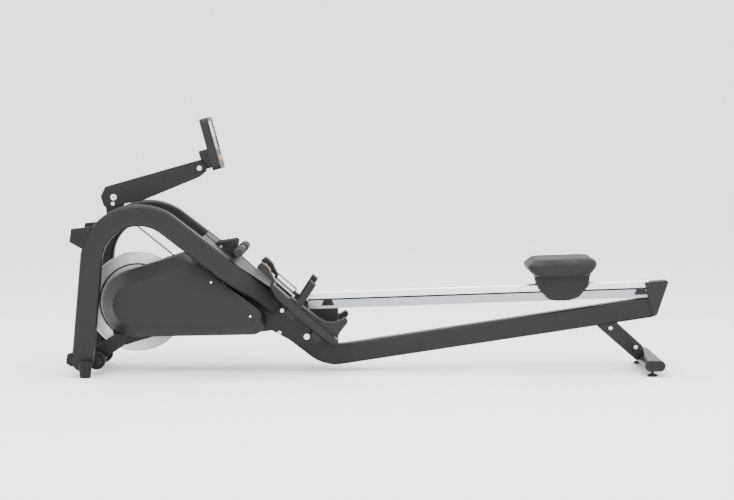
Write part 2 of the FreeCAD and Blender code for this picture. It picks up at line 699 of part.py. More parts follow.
def make_flywheel():
    """Solid disc with a lighter web and a hub, on its own bearings."""
    hub = "axle_radius + 6"
    half = "flywheel_thick / 2"
    profile = [(hub, "-26"), (f"{hub} + 14", "-26"), (f"{hub} + 16", "-7"),
               ("flywheel_radius - 48", "-7"), ("flywheel_radius - 42", f"-({half})"),
               ("flywheel_radius - 3", f"-({half})"), ("flywheel_radius", f"-({half}) + 3"),
               ("flywheel_radius", f"{half} - 3"), ("flywheel_radius - 3", half),
               ("flywheel_radius - 42", half), ("flywheel_radius - 48", "7"),
               (f"{hub} + 16", "7"), (f"{hub} + 14", "26"), (hub, "26")]
    node("flywheel", turned("flywheel", profile, ("axle_x", "0", "axle_z")))
    small = [("axle_radius + 2", "-48 - belt_wide"), ("small_radius + 3", "-48 - belt_wide"),
             ("small_radius + 3", "-46.5 - belt_wide"), ("small_radius", "-46.5 - belt_wide"),
             ("small_radius", "-46.5"), ("small_radius + 3", "-46.5"), ("small_radius + 3", "-45"),
             ("axle_radius + 4", "-45"), ("axle_radius + 4", "-26"), ("axle_radius + 2", "-26")]
    node("flywheel_pulley", turned("flywheel_pulley", small, ("axle_x", "0", "axle_z")))
    rings = [turned("bearing", ring("axle_radius", "axle_radius + 6 - running_fit", low, high),
                    ("axle_x", "0", "axle_z")) for low, high in (("-25", "-13"), ("13", "25"))]
    node("flywheel_bearings", together("flywheel_bearings", *rings))


def make_drum():
    """Drive pulley and strap drum on one axle, with the return spring beside the drum."""
    place = ("drum_x", "0", "drum_z")
    pulley = [("7 + running_fit", "-66"), ("drive_radius + 3", "-66"), ("drive_radius + 3", "-64"),
              ("drive_radius", "-64"), ("drive_radius", "-64 + belt_wide + 3"),
              ("drive_radius + 3", "-64 + belt_wide + 3"), ("drive_radius + 3", "-45"),
              ("drive_radius - 12", "-45"), ("drive_radius - 12", "-52"), ("30", "-52"),
              ("30", "-45"), ("7 + running_fit", "-45")]
    node("drive_pulley", turned("drive_pulley", pulley, place))
    drum = [("7 + running_fit", "-17"), ("drum_radius + 8", "-17"), ("drum_radius + 8", "-14"),
            ("drum_radius", "-14"), ("drum_radius", "14"), ("drum_radius + 8", "14"),
            ("drum_radius + 8", "17"), ("7 + running_fit", "17")]
    node("strap_drum", turned("strap_drum", drum, place))
    spring = [turned("spring_coil", ring(f"{r}", f"{r} + 2", "18", "32"), place)
              for r in (10, 15, 20, 25, 30)]
    arm = block("spring_tail", ("26", "14", "2"), ("drum_x + 20", "25", "drum_z"))
    node("return_spring", fused("return_spring", *spring, arm))
    shaft = rod("flywheel_shaft", "axle_radius", "150", ("axle_x", "0", "axle_z"))
    collar = rod("axle_collar", "collar_radius", "plate_thick + 4",
                 ("axle_x", "plate_out - plate_thick / 2 + 2", "axle_z"))
    axles = [fused("flywheel_axle", shaft, collar),
             rod("drum_axle", "7", "150", place),
             rod("pulley_axle", "6", "50", ("pulley_x", "0", "pulley_z")),
             rod("guide_axle", "5", "118", ("guide_x", "0", "guide_z"))]
    node("drive_axles", together("drive_axles", *axles))


def belt_loop(offset):
    low = size("small_radius") + size("gap") + offset
    high = size("drive_radius") + size("gap") + offset
    return circle_hull([(size("axle_x"), size("axle_z"), low),
                        (size("drum_x"), size("drum_z"), high)], 0.0)


def make_belt():
    """Flat belt round the drive pulley and the small pulley of the flywheel."""
    wide = size("belt_wide") - 1
    shape = prism(belt_loop(size("belt_thick")), Vector(0, wide, 0)).cut(
        prism(belt_loop(0.0), Vector(0, wide, 0)))
    shape.translate(Vector(0, -60.3, 0))
    node("drive_belt", feature("drive_belt", shape))


def tangent(first, second, side_first, side_second):
    """Straight run touching two circles (x, z, r); side is +1 above and -1 below."""
    x1, z1, r1 = first
    x2, z2, r2 = second
    distance = math.hypot(x2 - x1, z2 - z1)
    heading = math.atan2(z2 - z1, x2 - x1)
    gain = (side_second * r2 - side_first * r1) / distance
    normal = heading + math.pi / 2 + math.asin(gain)
    spot = [Vector(x + side * r * math.cos(normal), 0, z + side * r * math.sin(normal))
            for (x, z, r), side in ((first, side_first), (second, side_second))]
    return spot[0], spot[1]


def strap_band(points, width, thick):
    """Flat band along straight runs, its section square to each run."""
    solids = []
    for a, b in points:
        run = b - a
        box = Part.makeBox(run.Length, width, thick, Vector(0, -width / 2, -thick / 2))
        angle = -math.degrees(math.atan2(run.z, run.x))
        box.Placement = FreeCAD.Placement(a, FreeCAD.Rotation(Vector(0, 1, 0), angle))
        solids.append(box)
    return solids


def wrap(circle, start, end, thick, width, clockwise):
    """Band wrapped round a circle between two points on its centre line."""
    x, z, r = circle
    a0 = math.atan2(start.z - z, start.x - x)
    a1 = math.atan2(end.z - z, end.x - x)
    sweep = (a0 - a1) % (2 * math.pi) if clockwise else (a1 - a0) % (2 * math.pi)
    low = a0 - sweep if clockwise else a0
    ring_shape = Part.makeCylinder(r + thick / 2, width, Vector(x, -width / 2, z), Vector(0, 1, 0),
                                   math.degrees(sweep))
    core = Part.makeCylinder(r - thick / 2, width, Vector(x, -width / 2, z), Vector(0, 1, 0))
    ring_shape.rotate(Vector(x, 0, z), Vector(0, 1, 0), 90 - math.degrees(low + sweep))
    return ring_shape.cut(core)


def strap_circles():
    """Centre-line circles of the strap on the drum, the upper pulley and the guide roller."""
    lift = size("gap") + size("strap_thick") / 2
    return ((size("drum_x"), size("drum_z"), size("drum_radius") + lift),
            (size("pulley_x"), size("pulley_z"), size("top_pulley_radius") + lift),
            (size("guide_x"), size("guide_z"), size("guide_radius") + lift))


def make_strap():
    """Webbing from the drum over the upper pulley and the guide roller to the handle."""
    drum, pulley, guide = strap_circles()
    width = size("strap_wide")
    thick = size("strap_thick")
    up_end, up_start = tangent(pulley, drum, -1, 1)
    down_start, down_end = tangent(pulley, guide, 1, -1)
    pull = Vector(size("hand_x") - YOKE_BACK, 0, size("hand_z"))
    leave, _ = tangent(guide, (pull.x, pull.z, 0.0), -1, -1)
    lower = Vector(drum[0] - drum[2], 0, drum[1])
    solids = strap_band([(up_end, up_start), (down_start, down_end)], width, thick)
    solids.append(wrap(pulley, up_end, down_start, thick, width, True))
    solids.append(wrap(guide, down_end, leave, thick, width, False))
    solids.append(wrap(drum, up_start, lower, thick, width, True))
    whole = solids[0].multiFuse(solids[1:])
    node("drive_strap", feature("drive_strap", whole.removeSplitter()))
    tail = strap_band([(leave, pull)], width, thick)[0]
    node("strap_tail", feature("strap_tail", tail))


def make_rollers():
    flange = [("6 + running_fit", "-15.5"), ("top_pulley_radius + 4", "-15.5"),
              ("top_pulley_radius + 4", "-13.2"), ("top_pulley_radius", "-13.2"),
              ("top_pulley_radius", "13.2"), ("top_pulley_radius + 4", "13.2"),
              ("top_pulley_radius + 4", "15.5"), ("6 + running_fit", "15.5")]
    node("top_pulley", turned("top_pulley", flange, ("pulley_x", "0", "pulley_z")))
    node("guide_roller", turned("guide_roller", ring("5 + running_fit", "guide_radius", "-18", "18"),
                                ("guide_x", "0", "guide_z")))


def make_brake():
    """Magnet yoke over the flywheel's rim, swinging on a pin between the plates."""
    axle = Vector(size("axle_x"), 0, size("axle_z"))
    outer = size("flywheel_radius") + 14
    inner = size("flywheel_radius") - 40
    yoke = rim_sector(axle, inner, outer, BRAKE_OUTSIDE).cut(
        rim_sector(axle, inner - 1, outer - 8, BRAKE_INSIDE))
    yoke.rotate(axle, Vector(0, 1, 0), BRAKE_START)
    pin_spot = axle + polar(90 - BRAKE_START + 1) * (outer + 4)
    pin = Part.makeCylinder(BRAKE_PIN, 2 * size("plate_in") - 0.6,
                            pin_spot - Vector(0, size("plate_in") - 0.3, 0), Vector(0, 1, 0))
    node("magnet_brake", feature("magnet_brake", yoke.fuse(pin).removeSplitter()))


def rim_sector(axle, inner, outer, half_wide):
    """Sector of a thick ring about the flywheel's axis, starting straight above it."""
    start = axle - Vector(0, half_wide, 0)
    sector = Part.makeCylinder(outer, 2 * half_wide, start, Vector(0, 1, 0), BRAKE_SWEEP)
    return sector.cut(Part.makeCylinder(inner, 2 * half_wide, start, Vector(0, 1, 0)))


BRAKE_START = 98.0
BRAKE_SWEEP = 30.0
BRAKE_OUTSIDE = 19.5
BRAKE_INSIDE = 15.5
BRAKE_PIN = 7.0
YOKE_BACK = 24.6


def cover_outlines(shrink):
    """Three-circle outlines of the cover: at its step and at its face."""
    x, z = size("axle_x"), size("axle_z") - 1
    step = [(x, z, 124 - shrink), (x + 170, z + 121, 60 - shrink), (x + 434, z - 68, 48 - shrink)]
    face = [(x, z, 76 - shrink), (x + 220, z + 118, 36 - shrink), (x + 440, z - 38, 30 - shrink)]
    return step, face


def cover_solid(shrink, back):
    step, face = cover_outlines(shrink)
    outer = circle_hull(step, -size("cover_step"))
    skirt = prism(circle_hull(step, back), Vector(0, -size("cover_step") - back, 0))
    slope = ruled(outer, circle_hull(face, -size("cover_face") + shrink))
    return skirt.fuse(slope)


def make_covers():
    """Moulded side covers of the drive, open at the flywheel and cut round the plates."""
    shell = cover_solid(0.0, -size("cover_back")).cut(
        cover_solid(size("cover_wall"), -size("cover_back") + 1))
    corners = [Vector(size(a), -size("plate_out") - 1, size(b)) for a, b in PLATE_OUTLINE]
    plate = Part.Face(Part.makePolygon(corners + corners[:1]))
    slot = plate.extrude(Vector(0, size("plate_thick") + 2, 0))
    grown = slot.fuse(slot.translated(Vector(0, 0, 1.5))).fuse(slot.translated(Vector(0, 0, -1.5)))
    shell = shell.cut(grown)
    solids = sorted(shell.Solids, key=lambda s: -s.Volume)
    both_sides("cover_left", "cover_right", feature("cover_left", solids[0]))
    screws = []
    for x, z in (("axle_x + 286", "axle_z + 84"), ("axle_x + 430", "axle_z - 42")):
        for side in ("-1", "1"):
            screws.append(rod("cover_screw", "4", "6", (x, f"{side} * (cover_face + 3)", z)))
    node("cover_screws", together("cover_screws", *screws))


# ---------------------------------------------------------------- handle, cradle and shroud

def make_handle():
    length = "handle_long"
    bar = rod("bar", "bar_radius", f"{length} - 10", ("hand_x", "0", "hand_z"))
    yoke = block("yoke", ("30", "40", "22"), ("hand_x - 9", "0", "hand_z"))
    node("handle_bar", fused("handle_bar", bar, yoke))
    grips = []
    for side in (-1, 1):
        start, end = side * 70.0, side * size(length) / 2
        section = []
        for y, wide, tall in ((start, 30.0, 28.0), (start + side * 50, 36.0, 31.0),
                              (end - side * 40, 36.0, 31.0), (end - side * 6, 32.0, 28.0),
                              (end, 27.0, 25.0)):
            oval = Part.Ellipse(Vector(0, 0, 0), wide / 2, tall / 2).toShape()
            oval.rotate(Vector(0, 0, 0), Vector(1, 0, 0), 90)
            oval.translate(Vector(size("hand_x"), y, size("hand_z")))
            section.append(Part.Wire([oval]))
        grip = Part.makeLoft(section, True, False)
        core = Part.makeCylinder(size("bar_radius") + 0.05, size(length) - 10,
                                 Vector(size("hand_x"), -size(length) / 2 + 5, size("hand_z")),
                                 Vector(0, 1, 0))
        grips.append(feature("grip", grip.cut(core)))
    node("handle_grips", together("handle_grips", *grips))


CRADLE = [("hand_x - 112", "hand_z + 12"), ("hand_x - 92", "hand_z + 28"),
          ("hand_x - 22", "hand_z + 39"), ("hand_x - 12", "hand_z + 34"), ("hand_x - 18", "hand_z"),
          ("hand_x - 12", "hand_z - 22"), ("hand_x - 20", "hand_z - 34"),
          ("hand_x - 80", "hand_z - 16")]


def make_cradle():
    """Two cheeks that the handle rests against, joined under the strap."""
    cheeks = [slab("cradle_cheek", CRADLE, "14", at=("0", f"{side} * 52", "0"), edge="4",
                   holes=[("guide_x", "guide_z", "5")])
              for side in ("-1", "1")]
    DOC.recompute()
    rest = feature("handle_room", Part.makeCylinder(18.3, 700, Vector(size("hand_x"), -350,
                                                                     size("hand_z")),
                                                    Vector(0, 1, 0)))
    node("handle_cradle", less("handle_cradle", together("cheeks", *cheeks), rest,
                               NODES["centre_shroud"]))


def make_shroud():
    """Moulded fairing between the arches, with a slot that the strap leaves by."""
    down = arch_direction()
    across = Vector(0, 1, 0)
    up = Vector(math.sin(math.radians(size("slope"))), 0, math.cos(math.radians(size("slope"))))
    start = Vector(size("run_x"), 0, size("run_z")) + up * SHROUD_LIFT
    half = size("arch_y") - size("tube_wide") / 2
    plan = [(-70.0, -half), (NECK_START - 6, -half), (NECK_START + 150, -52.0),
            (NECK_START + 150, 52.0), (NECK_START - 6, half), (-70.0, half)]
    corners = [start + down * u + across * v for u, v in plan]
    shape = prism(Part.makePolygon(corners + corners[:1]), up * SHROUD_THICK)
    slot_start = size("guide_x") - 110
    slot = Part.makeBox(size("hand_x") - 30 - slot_start, 44, 200,
                        Vector(slot_start, -22, size("guide_z") - 120))
    shape = shape.cut(slot)
    node("centre_shroud", feature("centre_shroud", shape.removeSplitter()))


SHROUD_LIFT = 14.0
SHROUD_THICK = 24.0


# ---------------------------------------------------------------- console

def make_console_mount():
    """Upright bracket on the upper cross tube, with an arc slot for the arm's lock."""
    outline = [("upper_x - 22", "upper_z + 10"), ("upper_x + 26", "upper_z + 10"),
               ("pivot_x + 36", "pivot_z - 10"), ("pivot_x + 30", "pivot_z + 22"),
               ("pivot_x", "pivot_z + 34"), ("pivot_x - 28", "pivot_z + 18"),
               ("pivot_x - 32", "pivot_z - 20")]
    cheeks = [slab("mount_cheek", outline, "8", at=("0", f"{side} * 26", "0"),
                   holes=[("pivot_x", "pivot_z", "arm_pin")]) for side in ("-1", "1")]
    DOC.recompute()
    web = block("mount_web", ("40", "44", "8"), ("upper_x", "0", "upper_z + 40"))
    tube = feature("upper_envelope", Part.makeCylinder(30, 500, Vector(size("upper_x"), -250,
                                                                      size("upper_z")),
                                                       Vector(0, 1, 0)))
    ring_cut = Part.makeCylinder(29.5, 60, Vector(size("pivot_x"), -30, size("pivot_z")),
                                 Vector(0, 1, 0), LOCK_SWEEP)
    ring_cut = ring_cut.cut(Part.makeCylinder(19.5, 60, Vector(size("pivot_x"), -30,
                                                               size("pivot_z")), Vector(0, 1, 0)))
    ring_cut.rotate(Vector(size("pivot_x"), 0, size("pivot_z")), Vector(0, 1, 0),
                    90 + LOCK_ANGLE + 12 - LOCK_SWEEP)
    slot = feature("lock_slot", ring_cut)
    whole = fused("mount_whole", *cheeks, web)
    node("console_mount", less("console_mount", whole, tube, slot))


LOCK_ANGLE = 97.0
LOCK_SWEEP = 102.0

ARM = [("pivot_x - 36", "pivot_z - 37"), ("pivot_x - 49", "pivot_z + 3"),
       ("pivot_x - 32", "pivot_z + 39"), ("tip_x + 1", "tip_z + 31"), ("tip_x + 24", "tip_z + 12"),
       ("tip_x + 22", "tip_z - 14"), ("tip_x - 6", "tip_z - 35.5"), ("tip_x - 216", "tip_z - 122")]


def make_console_arm():
    """Channel-section arm, open below at the bracket and at its tip."""
    outer = slab("arm_outer", ARM, "arm_wide", edge="7")
    inner_outline = [("pivot_x - 60", "pivot_z - 60"), ("pivot_x - 60", "pivot_z + 27"),
                     ("pivot_x - 34", "pivot_z + 34"), ("tip_x - 34", "tip_z + 17"),
                     ("tip_x - 34", "tip_z + 60"), ("tip_x + 40", "tip_z + 60"),
                     ("tip_x + 40", "tip_z - 50"),
                     ("tip_x - 20", "tip_z - 38"), ("tip_x - 216", "tip_z - 112"),
                     ("tip_x - 216", "tip_z - 140")]
    inner = slab("arm_inner", inner_outline, "arm_wide - 2 * arm_wall")
    pivots = rod("arm_pivot_hole", "arm_pin + running_fit", "100", ("pivot_x", "0", "pivot_z"))
    tips = rod("arm_tip_hole", "6", "100", ("tip_x", "0", "tip_z"))
    lock = rod("lock_hole", "4", "100", ("pivot_x - 3", "0", "pivot_z - 24.3"))
    node("console_arm", less("console_arm", outer, inner, pivots, tips, lock))
    shank = rod("lock_shank", "4", "80", ("pivot_x - 3", "0", "pivot_z - 24.3"))
    heads = [rod("lock_head", "7", "5", ("pivot_x - 3", f"{side} * 37.5", "pivot_z - 24.3"))
             for side in ("-1", "1")]
    tip = rod("tip_shank", "6", "78", ("tip_x", "0", "tip_z"))
    tips = [rod("tip_head", "9", "4", ("tip_x", f"{side} * 37", "tip_z")) for side in ("-1", "1")]
    node("arm_bolts", together("arm_bolts", fused("lock_bolt", shank, *heads),
                               fused("tip_bolt", tip, *tips)))


def console_place(offset):
    lean = math.radians(size("console_lean"))
    along, normal = offset
    base = Vector(size("tip_x"), 0, size("tip_z"))
    turn = FreeCAD.Rotation(Vector(0, 1, 0), -size("console_lean"))
    return FreeCAD.Placement(base + turn.multVec(Vector(normal, 0, along)), turn)


CONSOLE_BACK_GAP = 52.0
CONSOLE_LOW = -22.0


def console_slab(low, high, near, far, width, radius):
    """Upright block of the console: low and high up its face, near and far from the pivot."""
    wire = rounded_rectangle(Vector(near, 0, (low + high) / 2), Vector(0, 1, 0), Vector(0, 0, 1),
                             width, high - low, radius)
    return prism(wire, Vector(far - near, 0, 0))


def make_console():
    """Housing with its pivot lugs, front bezel, screen and touch keys."""
    place = console_place((0.0, 0.0))
    wide, tall = size("console_wide"), size("console_tall")
    near, low = CONSOLE_BACK_GAP, CONSOLE_LOW
    back = console_slab(low, low + tall, near, near + 22, wide, 22)
    hollow = console_slab(low + 3, low + tall - 3, near + 3, near + 23, wide - 6, 19)
    hump = console_slab(low + 12, low + 84, near - 38, near + 1, 96, 12)
    lug = Part.makeCylinder(14, 58, Vector(0, -29, 0), Vector(0, 1, 0))
    web = Part.makeBox(near - 34, 58, 22, Vector(0, -29, -8))
    shell = back.cut(hollow).fuse(hump).fuse(web).fuse(lug)
    shell = shell.cut(Part.makeCylinder(6 + size("running_fit"), 90, Vector(0, -45, 0),
                                        Vector(0, 1, 0)))
    shell = shell.cut(arm_sweep_room())
    add_placed("console_back", shell, place)
    bezel = console_slab(low, low + tall, near + 22, near + 32, wide, 22)
    window = console_slab(low + 74, low + tall - 14, near + 20, near + 40, wide - 34, 8)
    keys = [(-84, 40), (-50, 40), (-17, 40), (17, 40), (50, 40), (84, 40)]
    seats = [console_slab(low + v - 10, low + v + 10, near + 29, near + 40, 26, 5)
             .translated(Vector(0, u, 0)) for u, v in keys]
    shape = bezel.cut(window)
    for seat in seats:
        shape = shape.cut(seat)
    add_placed("console_bezel", shape, place)
    screen = console_slab(low + 74, low + tall - 14, near + 22, near + 29, wide - 34, 8)
    add_placed("console_screen", screen, place)
    caps = [console_slab(low + v - 9.5, low + v + 9.5, near + 29, near + 33, 25, 4.5)
            .translated(Vector(0, u, 0)) for u, v in keys]
    add_placed("console_keys", Part.makeCompound(caps), place)


def arm_sweep_room():
    """Room outside the lugs for the arm's two walls and tip, at any tilt."""
    room = Part.makeCylinder(33.5, 40, Vector(0, 29.5, 0), Vector(0, 1, 0))
    other = Part.makeCylinder(33.5, 40, Vector(0, -69.5, 0), Vector(0, 1, 0))
    return room.fuse(other)


def add_placed(name, shape, place):
    thing = feature(name, shape)
    thing.Placement = place
    node(name, thing)


# ---------------------------------------------------------------- foot rests

def foot_slab(name, points, width, shift="0", edge=None, holes=()):
    """Slab in the foot rest's own frame: along the plate and square to it."""
    return slab(name, points, width, at=("toe_x", f"-foot_offset + {shift}", "toe_z"),
                tilt="foot_slope", edge=edge, holes=holes)


def make_foot_rests():
    tray_outline = [("0", "0"), ("foot_long", "0"), ("foot_long", "-16"), ("foot_long - 20", "-24"),
                    ("240", "-foot_deep"), ("60", "-foot_deep"), ("8", "-13")]
    tray = foot_slab("tray", tray_outline, "foot_wide", edge="4")
    toe = foot_slab("toe_block", [("-70", "5"), ("2", "5"), ("2", "-6"), ("12", "-6"), ("12", "13"), ("-40", "34"),
                                  ("-72", "34"), ("-76", "14")], "60", edge="3")
    well = foot_slab("latch_well", [("-60", "18"), ("-28", "18"), ("-28", "50"), ("-60", "50")],
                     "34")
    rod_hole = foot_slab("rod_hole", [("-62", "13"), ("20", "13"), ("20", "20"), ("-62", "20")], "8")
    rest = less("footplate_left", fused("tray_and_toe", tray, toe), well, rod_hole)
    both_sides("footplate_left", "footplate_right", rest)
    bed_outline = [("95", "0.3"), ("306", "0.3"), ("312", "6"), ("313", "30"), ("311", "74"),
                   ("303", "80"), ("292", "79"), ("286", "60"), ("270", "36"), ("250", "21"),
                   ("226", "15"), ("95", "7")]
    bed = foot_slab("bed", bed_outline, "foot_wide - 22", edge="2")
    slider = foot_slab("slider_bar", [("-20", "13.5"), ("101", "13.5"), ("101", "19.5"),
                                      ("-20", "19.5")], "7")
    post = foot_slab("slider_post", [("95", "0.3"), ("101", "0.3"), ("101", "19.5"),
                                     ("95", "19.5")], "7")
    both_sides("foot_bed_left", "foot_bed_right", fused("foot_bed_left", bed, slider, post))
    latch_button = foot_slab("latch_button", [("-59.5", "24"), ("-28.5", "24"), ("-28.5", "33"),
                                              ("-59.5", "38")], "33")
    both_sides("foot_latch_left", "foot_latch_right", latch_button)
    band = foot_slab("band_outer", [("121", "0.3"), ("147", "0.3"), ("133", "100"), ("107", "100")],
                     "foot_wide - 2", edge=None)
    inside = foot_slab("band_inner", [("60", "-10"), ("200", "-10"), ("200", "94"), ("60", "94")],
                       "foot_wide - 14")
    strap = less("foot_strap", band, inside)
    node("foot_straps", together("foot_straps", strap, mirrored("foot_strap_right", strap)))


# ---------------------------------------------------------------- seat

def seat_frame(x, y, z):
    """Place on the rail's own slope: x along it from the seat's middle, z above its base."""
    turn = FreeCAD.Rotation(Vector(0, 1, 0), -size("rail_tilt"))
    base = Vector(size("seat_x"), 0, size("seat_rail_z"))
    return FreeCAD.Placement(base + turn.multVec(Vector(x, y, z)), turn)


def seat_slab(name, points, width, y="0", edge=None, holes=()):
    return slab(name, points, width, at=("seat_x", y, "seat_rail_z"), tilt="-rail_tilt",
                edge=edge, holes=holes)


def make_seat():
    """Carriage plate, hanging side plates, glides, rollers on two axles and the cushion."""
    plate_z = "rail_tall + 2 * roller_radius + 2.6"
    base = seat_slab("seat_base", [("-104", plate_z), ("100", plate_z),
                                   ("100", f"{plate_z} + 9"), ("-104", f"{plate_z} + 9")], "150",
                     edge="3")
    node("seat_base", base)
    roller_z = "rail_tall + gap + roller_radius"
    half = "roller_base / 2"
    pins = [(f"-({half})", roller_z, "seat_pin"), (half, roller_z, "seat_pin")]
    cheek = [("-104", plate_z), ("-94", "48"), ("-56", "6"), ("-26", "0"), ("20", "0"),
             ("56", "12"), ("94", "52"), ("100", plate_z)]
    cheeks = [seat_slab("seat_cheek", cheek, "6", y=f"{side} * 45", holes=pins)
              for side in ("-1", "1")]
    mid = "rail_tall / 2 + 2"
    glides = []
    for side in ("-1", "1"):
        for x in (-32, 28):
            body = seat_slab("glide_body", [(f"{x - 14}", "rail_tall - 28"), (f"{x + 14}", "rail_tall - 28"),
                                            (f"{x + 14}", "rail_tall - 8"), (f"{x - 14}", "rail_tall - 8")],
                             "42 - rail_half - 0.5", y=f"{side} * (42 + rail_half + 0.5) / 2")
            tongue = seat_slab("glide_tongue",
                               [(f"{x - 14}", f"{mid} - groove_tall / 2 + 0.5"),
                                (f"{x + 14}", f"{mid} - groove_tall / 2 + 0.5"),
                                (f"{x + 14}", "rail_tall - 26"), (f"{x - 14}", "rail_tall - 26")],
                               "42 - rail_half - 0.5", y=f"{side} * (42 + rail_half + 0.5) / 2")
            lip = seat_slab("glide_lip", [(f"{x - 14}", f"{mid} - groove_tall / 2 + 0.5"),
                                          (f"{x + 14}", f"{mid} - groove_tall / 2 + 0.5"),
                                          (f"{x + 14}", f"{mid} + groove_tall / 2 - 0.5"),
                                          (f"{x - 14}", f"{mid} + groove_tall / 2 - 0.5")],
                            "groove_deep", y=f"{side} * (rail_half - groove_deep / 2 + 1)")
            glides.append(fused("seat_glide", body, tongue, lip))
    node("seat_glides", together("seat_glides", *glides))
    axles = []
    for name, x in (("seat_rollers_front", f"-({half})"), ("seat_rollers_rear", half)):
        rollers = []
        for side in ("-1", "1"):
            profile = ring("seat_pin + running_fit", "roller_radius", "-roller_wide / 2",
                           "roller_wide / 2")
            spot = seat_frame(size(x), 0, size(roller_z)).Base
            roller = turned("roller", profile, (f"{spot.x:.5f}", f"{side} * 15", f"{spot.z:.5f}"))
            rollers.append(roller)
        node(name, together(name, *rollers))
        spot = seat_frame(size(x), 0, size(roller_z)).Base
        axles.append(rod("seat_axle", "seat_pin", "100", (f"{spot.x:.5f}", "0", f"{spot.z:.5f}")))
    node("seat_side_frame", fused("seat_side_frame", *cheeks, *axles))
    make_cushion()


def make_cushion():
    """Plain closed solid of the padded seat: bevelled below, wider above, scooped on top."""
    z0 = size("rail_tall") + 2 * size("roller_radius") + 2.6 + 9.3
    half = size("seat_wide") / 2
    layers = ((z0, -100.0, 96.0, half - 44, 40), (z0 + 22, -136.0, 118.0, half - 12, 50),
              (z0 + 40, -142.0, 128.0, half, 56), (z0 + 56, -112.0, 118.0, half - 14, 50))
    wires = []
    for z, x0, x1, y, radius in layers:
        wires.append(rounded_rectangle(Vector((x0 + x1) / 2, 0, z), Vector(1, 0, 0),
                                       Vector(0, 1, 0), x1 - x0, 2 * y, radius))
    shape = Part.makeLoft(wires, True, True)
    add_placed("seat_cushion", shape, seat_frame(0, 0, 0))


# ---------------------------------------------------------------- fasteners

def make_frame_bolts():
    """Visible bolt heads of the plates, the console pivot and the rear leg."""
    bolts = []
    for x, z, radius in (("toe_x + 129", "toe_z - 214", "11"), ("toe_x + 27", "toe_z - 199", "6"),
                         ("nose_x + 18", "nose_z + 30", "6")):
        for side in ("-1", "1"):
            bolts.append(rod("plate_bolt", radius, "6", (x, f"{side} * (plate_out + 3)", z)))
    pivot = rod("pivot_shank", "arm_pin", "80", ("pivot_x", "0", "pivot_z"))
    heads = [rod("pivot_head", "8.5 + 3", "5", ("pivot_x", f"{side} * 37.8", "pivot_z"))
             for side in ("-1", "1")]
    bolts.append(fused("pivot_bolt", pivot, *heads))
    for side in ("-1", "1"):
        bolts.append(rod("leg_bolt", "6", "5", ("rear - 120", f"{side} * 32.5", "88")))
        bolts.append(rod("leg_bolt", "6", "5", ("rear - 215", f"{side} * 32.5", "160")))
    node("frame_bolts", together("frame_bolts", *bolts))


# ---------------------------------------------------------------- build

def check_document():
    """Stop if any object failed or any sub-part is empty or broken."""
    for thing in DOC.Objects:
        bad = [state for state in thing.State if state in ("Invalid", "Error")]
        if bad:
            raise RuntimeError(f"{thing.Label} is {bad}")
    for name, thing in NODES.items():
        if thing.Shape.isNull() or not thing.Shape.isValid() or not thing.Shape.Solids:
            raise RuntimeError(f"{name} has no sound shape")


def main():
    fill_column("A", DRIVING)
    DOC.recompute()
    places = layout({name: size(name) for name in DRIVING})
    places["tip_x"] = places["pivot_x"] + DRIVING["arm_length"]
    places["tip_z"] = places["pivot_z"] + 108.0
    fill_column("C", places)
    DOC.recompute()
    for make in (make_arches, make_front_frame, make_upper_cross, make_core_plates, make_beam,
                 make_rail, make_rail_bracket, make_rail_stops, make_rear_end, make_front_feet,
                 make_storage_pads, make_wheels, make_level_feet, make_flywheel, make_drum,
                 make_belt, make_strap, make_rollers, make_brake, make_covers, make_handle,
                 make_shroud, make_cradle, make_console_mount, make_console_arm, make_console,
                 make_foot_rests, make_seat, make_frame_bolts):
        make()
    DOC.recompute()
    check_document()
    os.makedirs("parts", exist_ok=True)
    for name, thing in NODES.items():
        thing.Shape.exportStep(f"parts/{name}.step")
    print(len(NODES), "sub-parts written")


main()
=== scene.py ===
import bmesh
import bpy
import json
import math
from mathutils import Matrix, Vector

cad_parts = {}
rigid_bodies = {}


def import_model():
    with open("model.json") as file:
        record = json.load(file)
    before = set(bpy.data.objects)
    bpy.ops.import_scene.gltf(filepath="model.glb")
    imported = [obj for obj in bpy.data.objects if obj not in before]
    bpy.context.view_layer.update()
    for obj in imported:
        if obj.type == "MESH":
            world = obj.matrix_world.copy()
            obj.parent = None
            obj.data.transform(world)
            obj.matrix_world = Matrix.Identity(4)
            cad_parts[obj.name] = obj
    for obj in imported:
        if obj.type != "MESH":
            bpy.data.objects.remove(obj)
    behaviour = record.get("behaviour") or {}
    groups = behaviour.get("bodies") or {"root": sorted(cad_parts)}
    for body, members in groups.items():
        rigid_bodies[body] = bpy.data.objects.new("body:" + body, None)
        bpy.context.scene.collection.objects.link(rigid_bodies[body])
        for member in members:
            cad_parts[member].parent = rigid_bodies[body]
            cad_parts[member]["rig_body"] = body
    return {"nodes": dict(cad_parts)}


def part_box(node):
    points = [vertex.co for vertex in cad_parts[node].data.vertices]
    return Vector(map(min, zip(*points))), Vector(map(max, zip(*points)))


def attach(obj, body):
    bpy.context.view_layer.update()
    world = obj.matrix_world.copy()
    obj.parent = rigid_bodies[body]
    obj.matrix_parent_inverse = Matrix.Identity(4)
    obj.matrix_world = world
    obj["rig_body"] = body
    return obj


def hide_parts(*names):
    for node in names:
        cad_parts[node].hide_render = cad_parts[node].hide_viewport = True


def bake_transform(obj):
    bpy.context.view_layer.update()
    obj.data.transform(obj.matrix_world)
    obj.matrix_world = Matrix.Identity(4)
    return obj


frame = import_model()

bl_info = {
    "name": "Rowing machine looks",
    "version": (1, 0, 0),
    "blender": (4, 2, 0),
    "location": "View3D > Sidebar > Rower",
    "description": "Finishes, seat pad, webbing, bolts and studio for a rowing machine",
    "category": "Object",
}

MM = 0.001

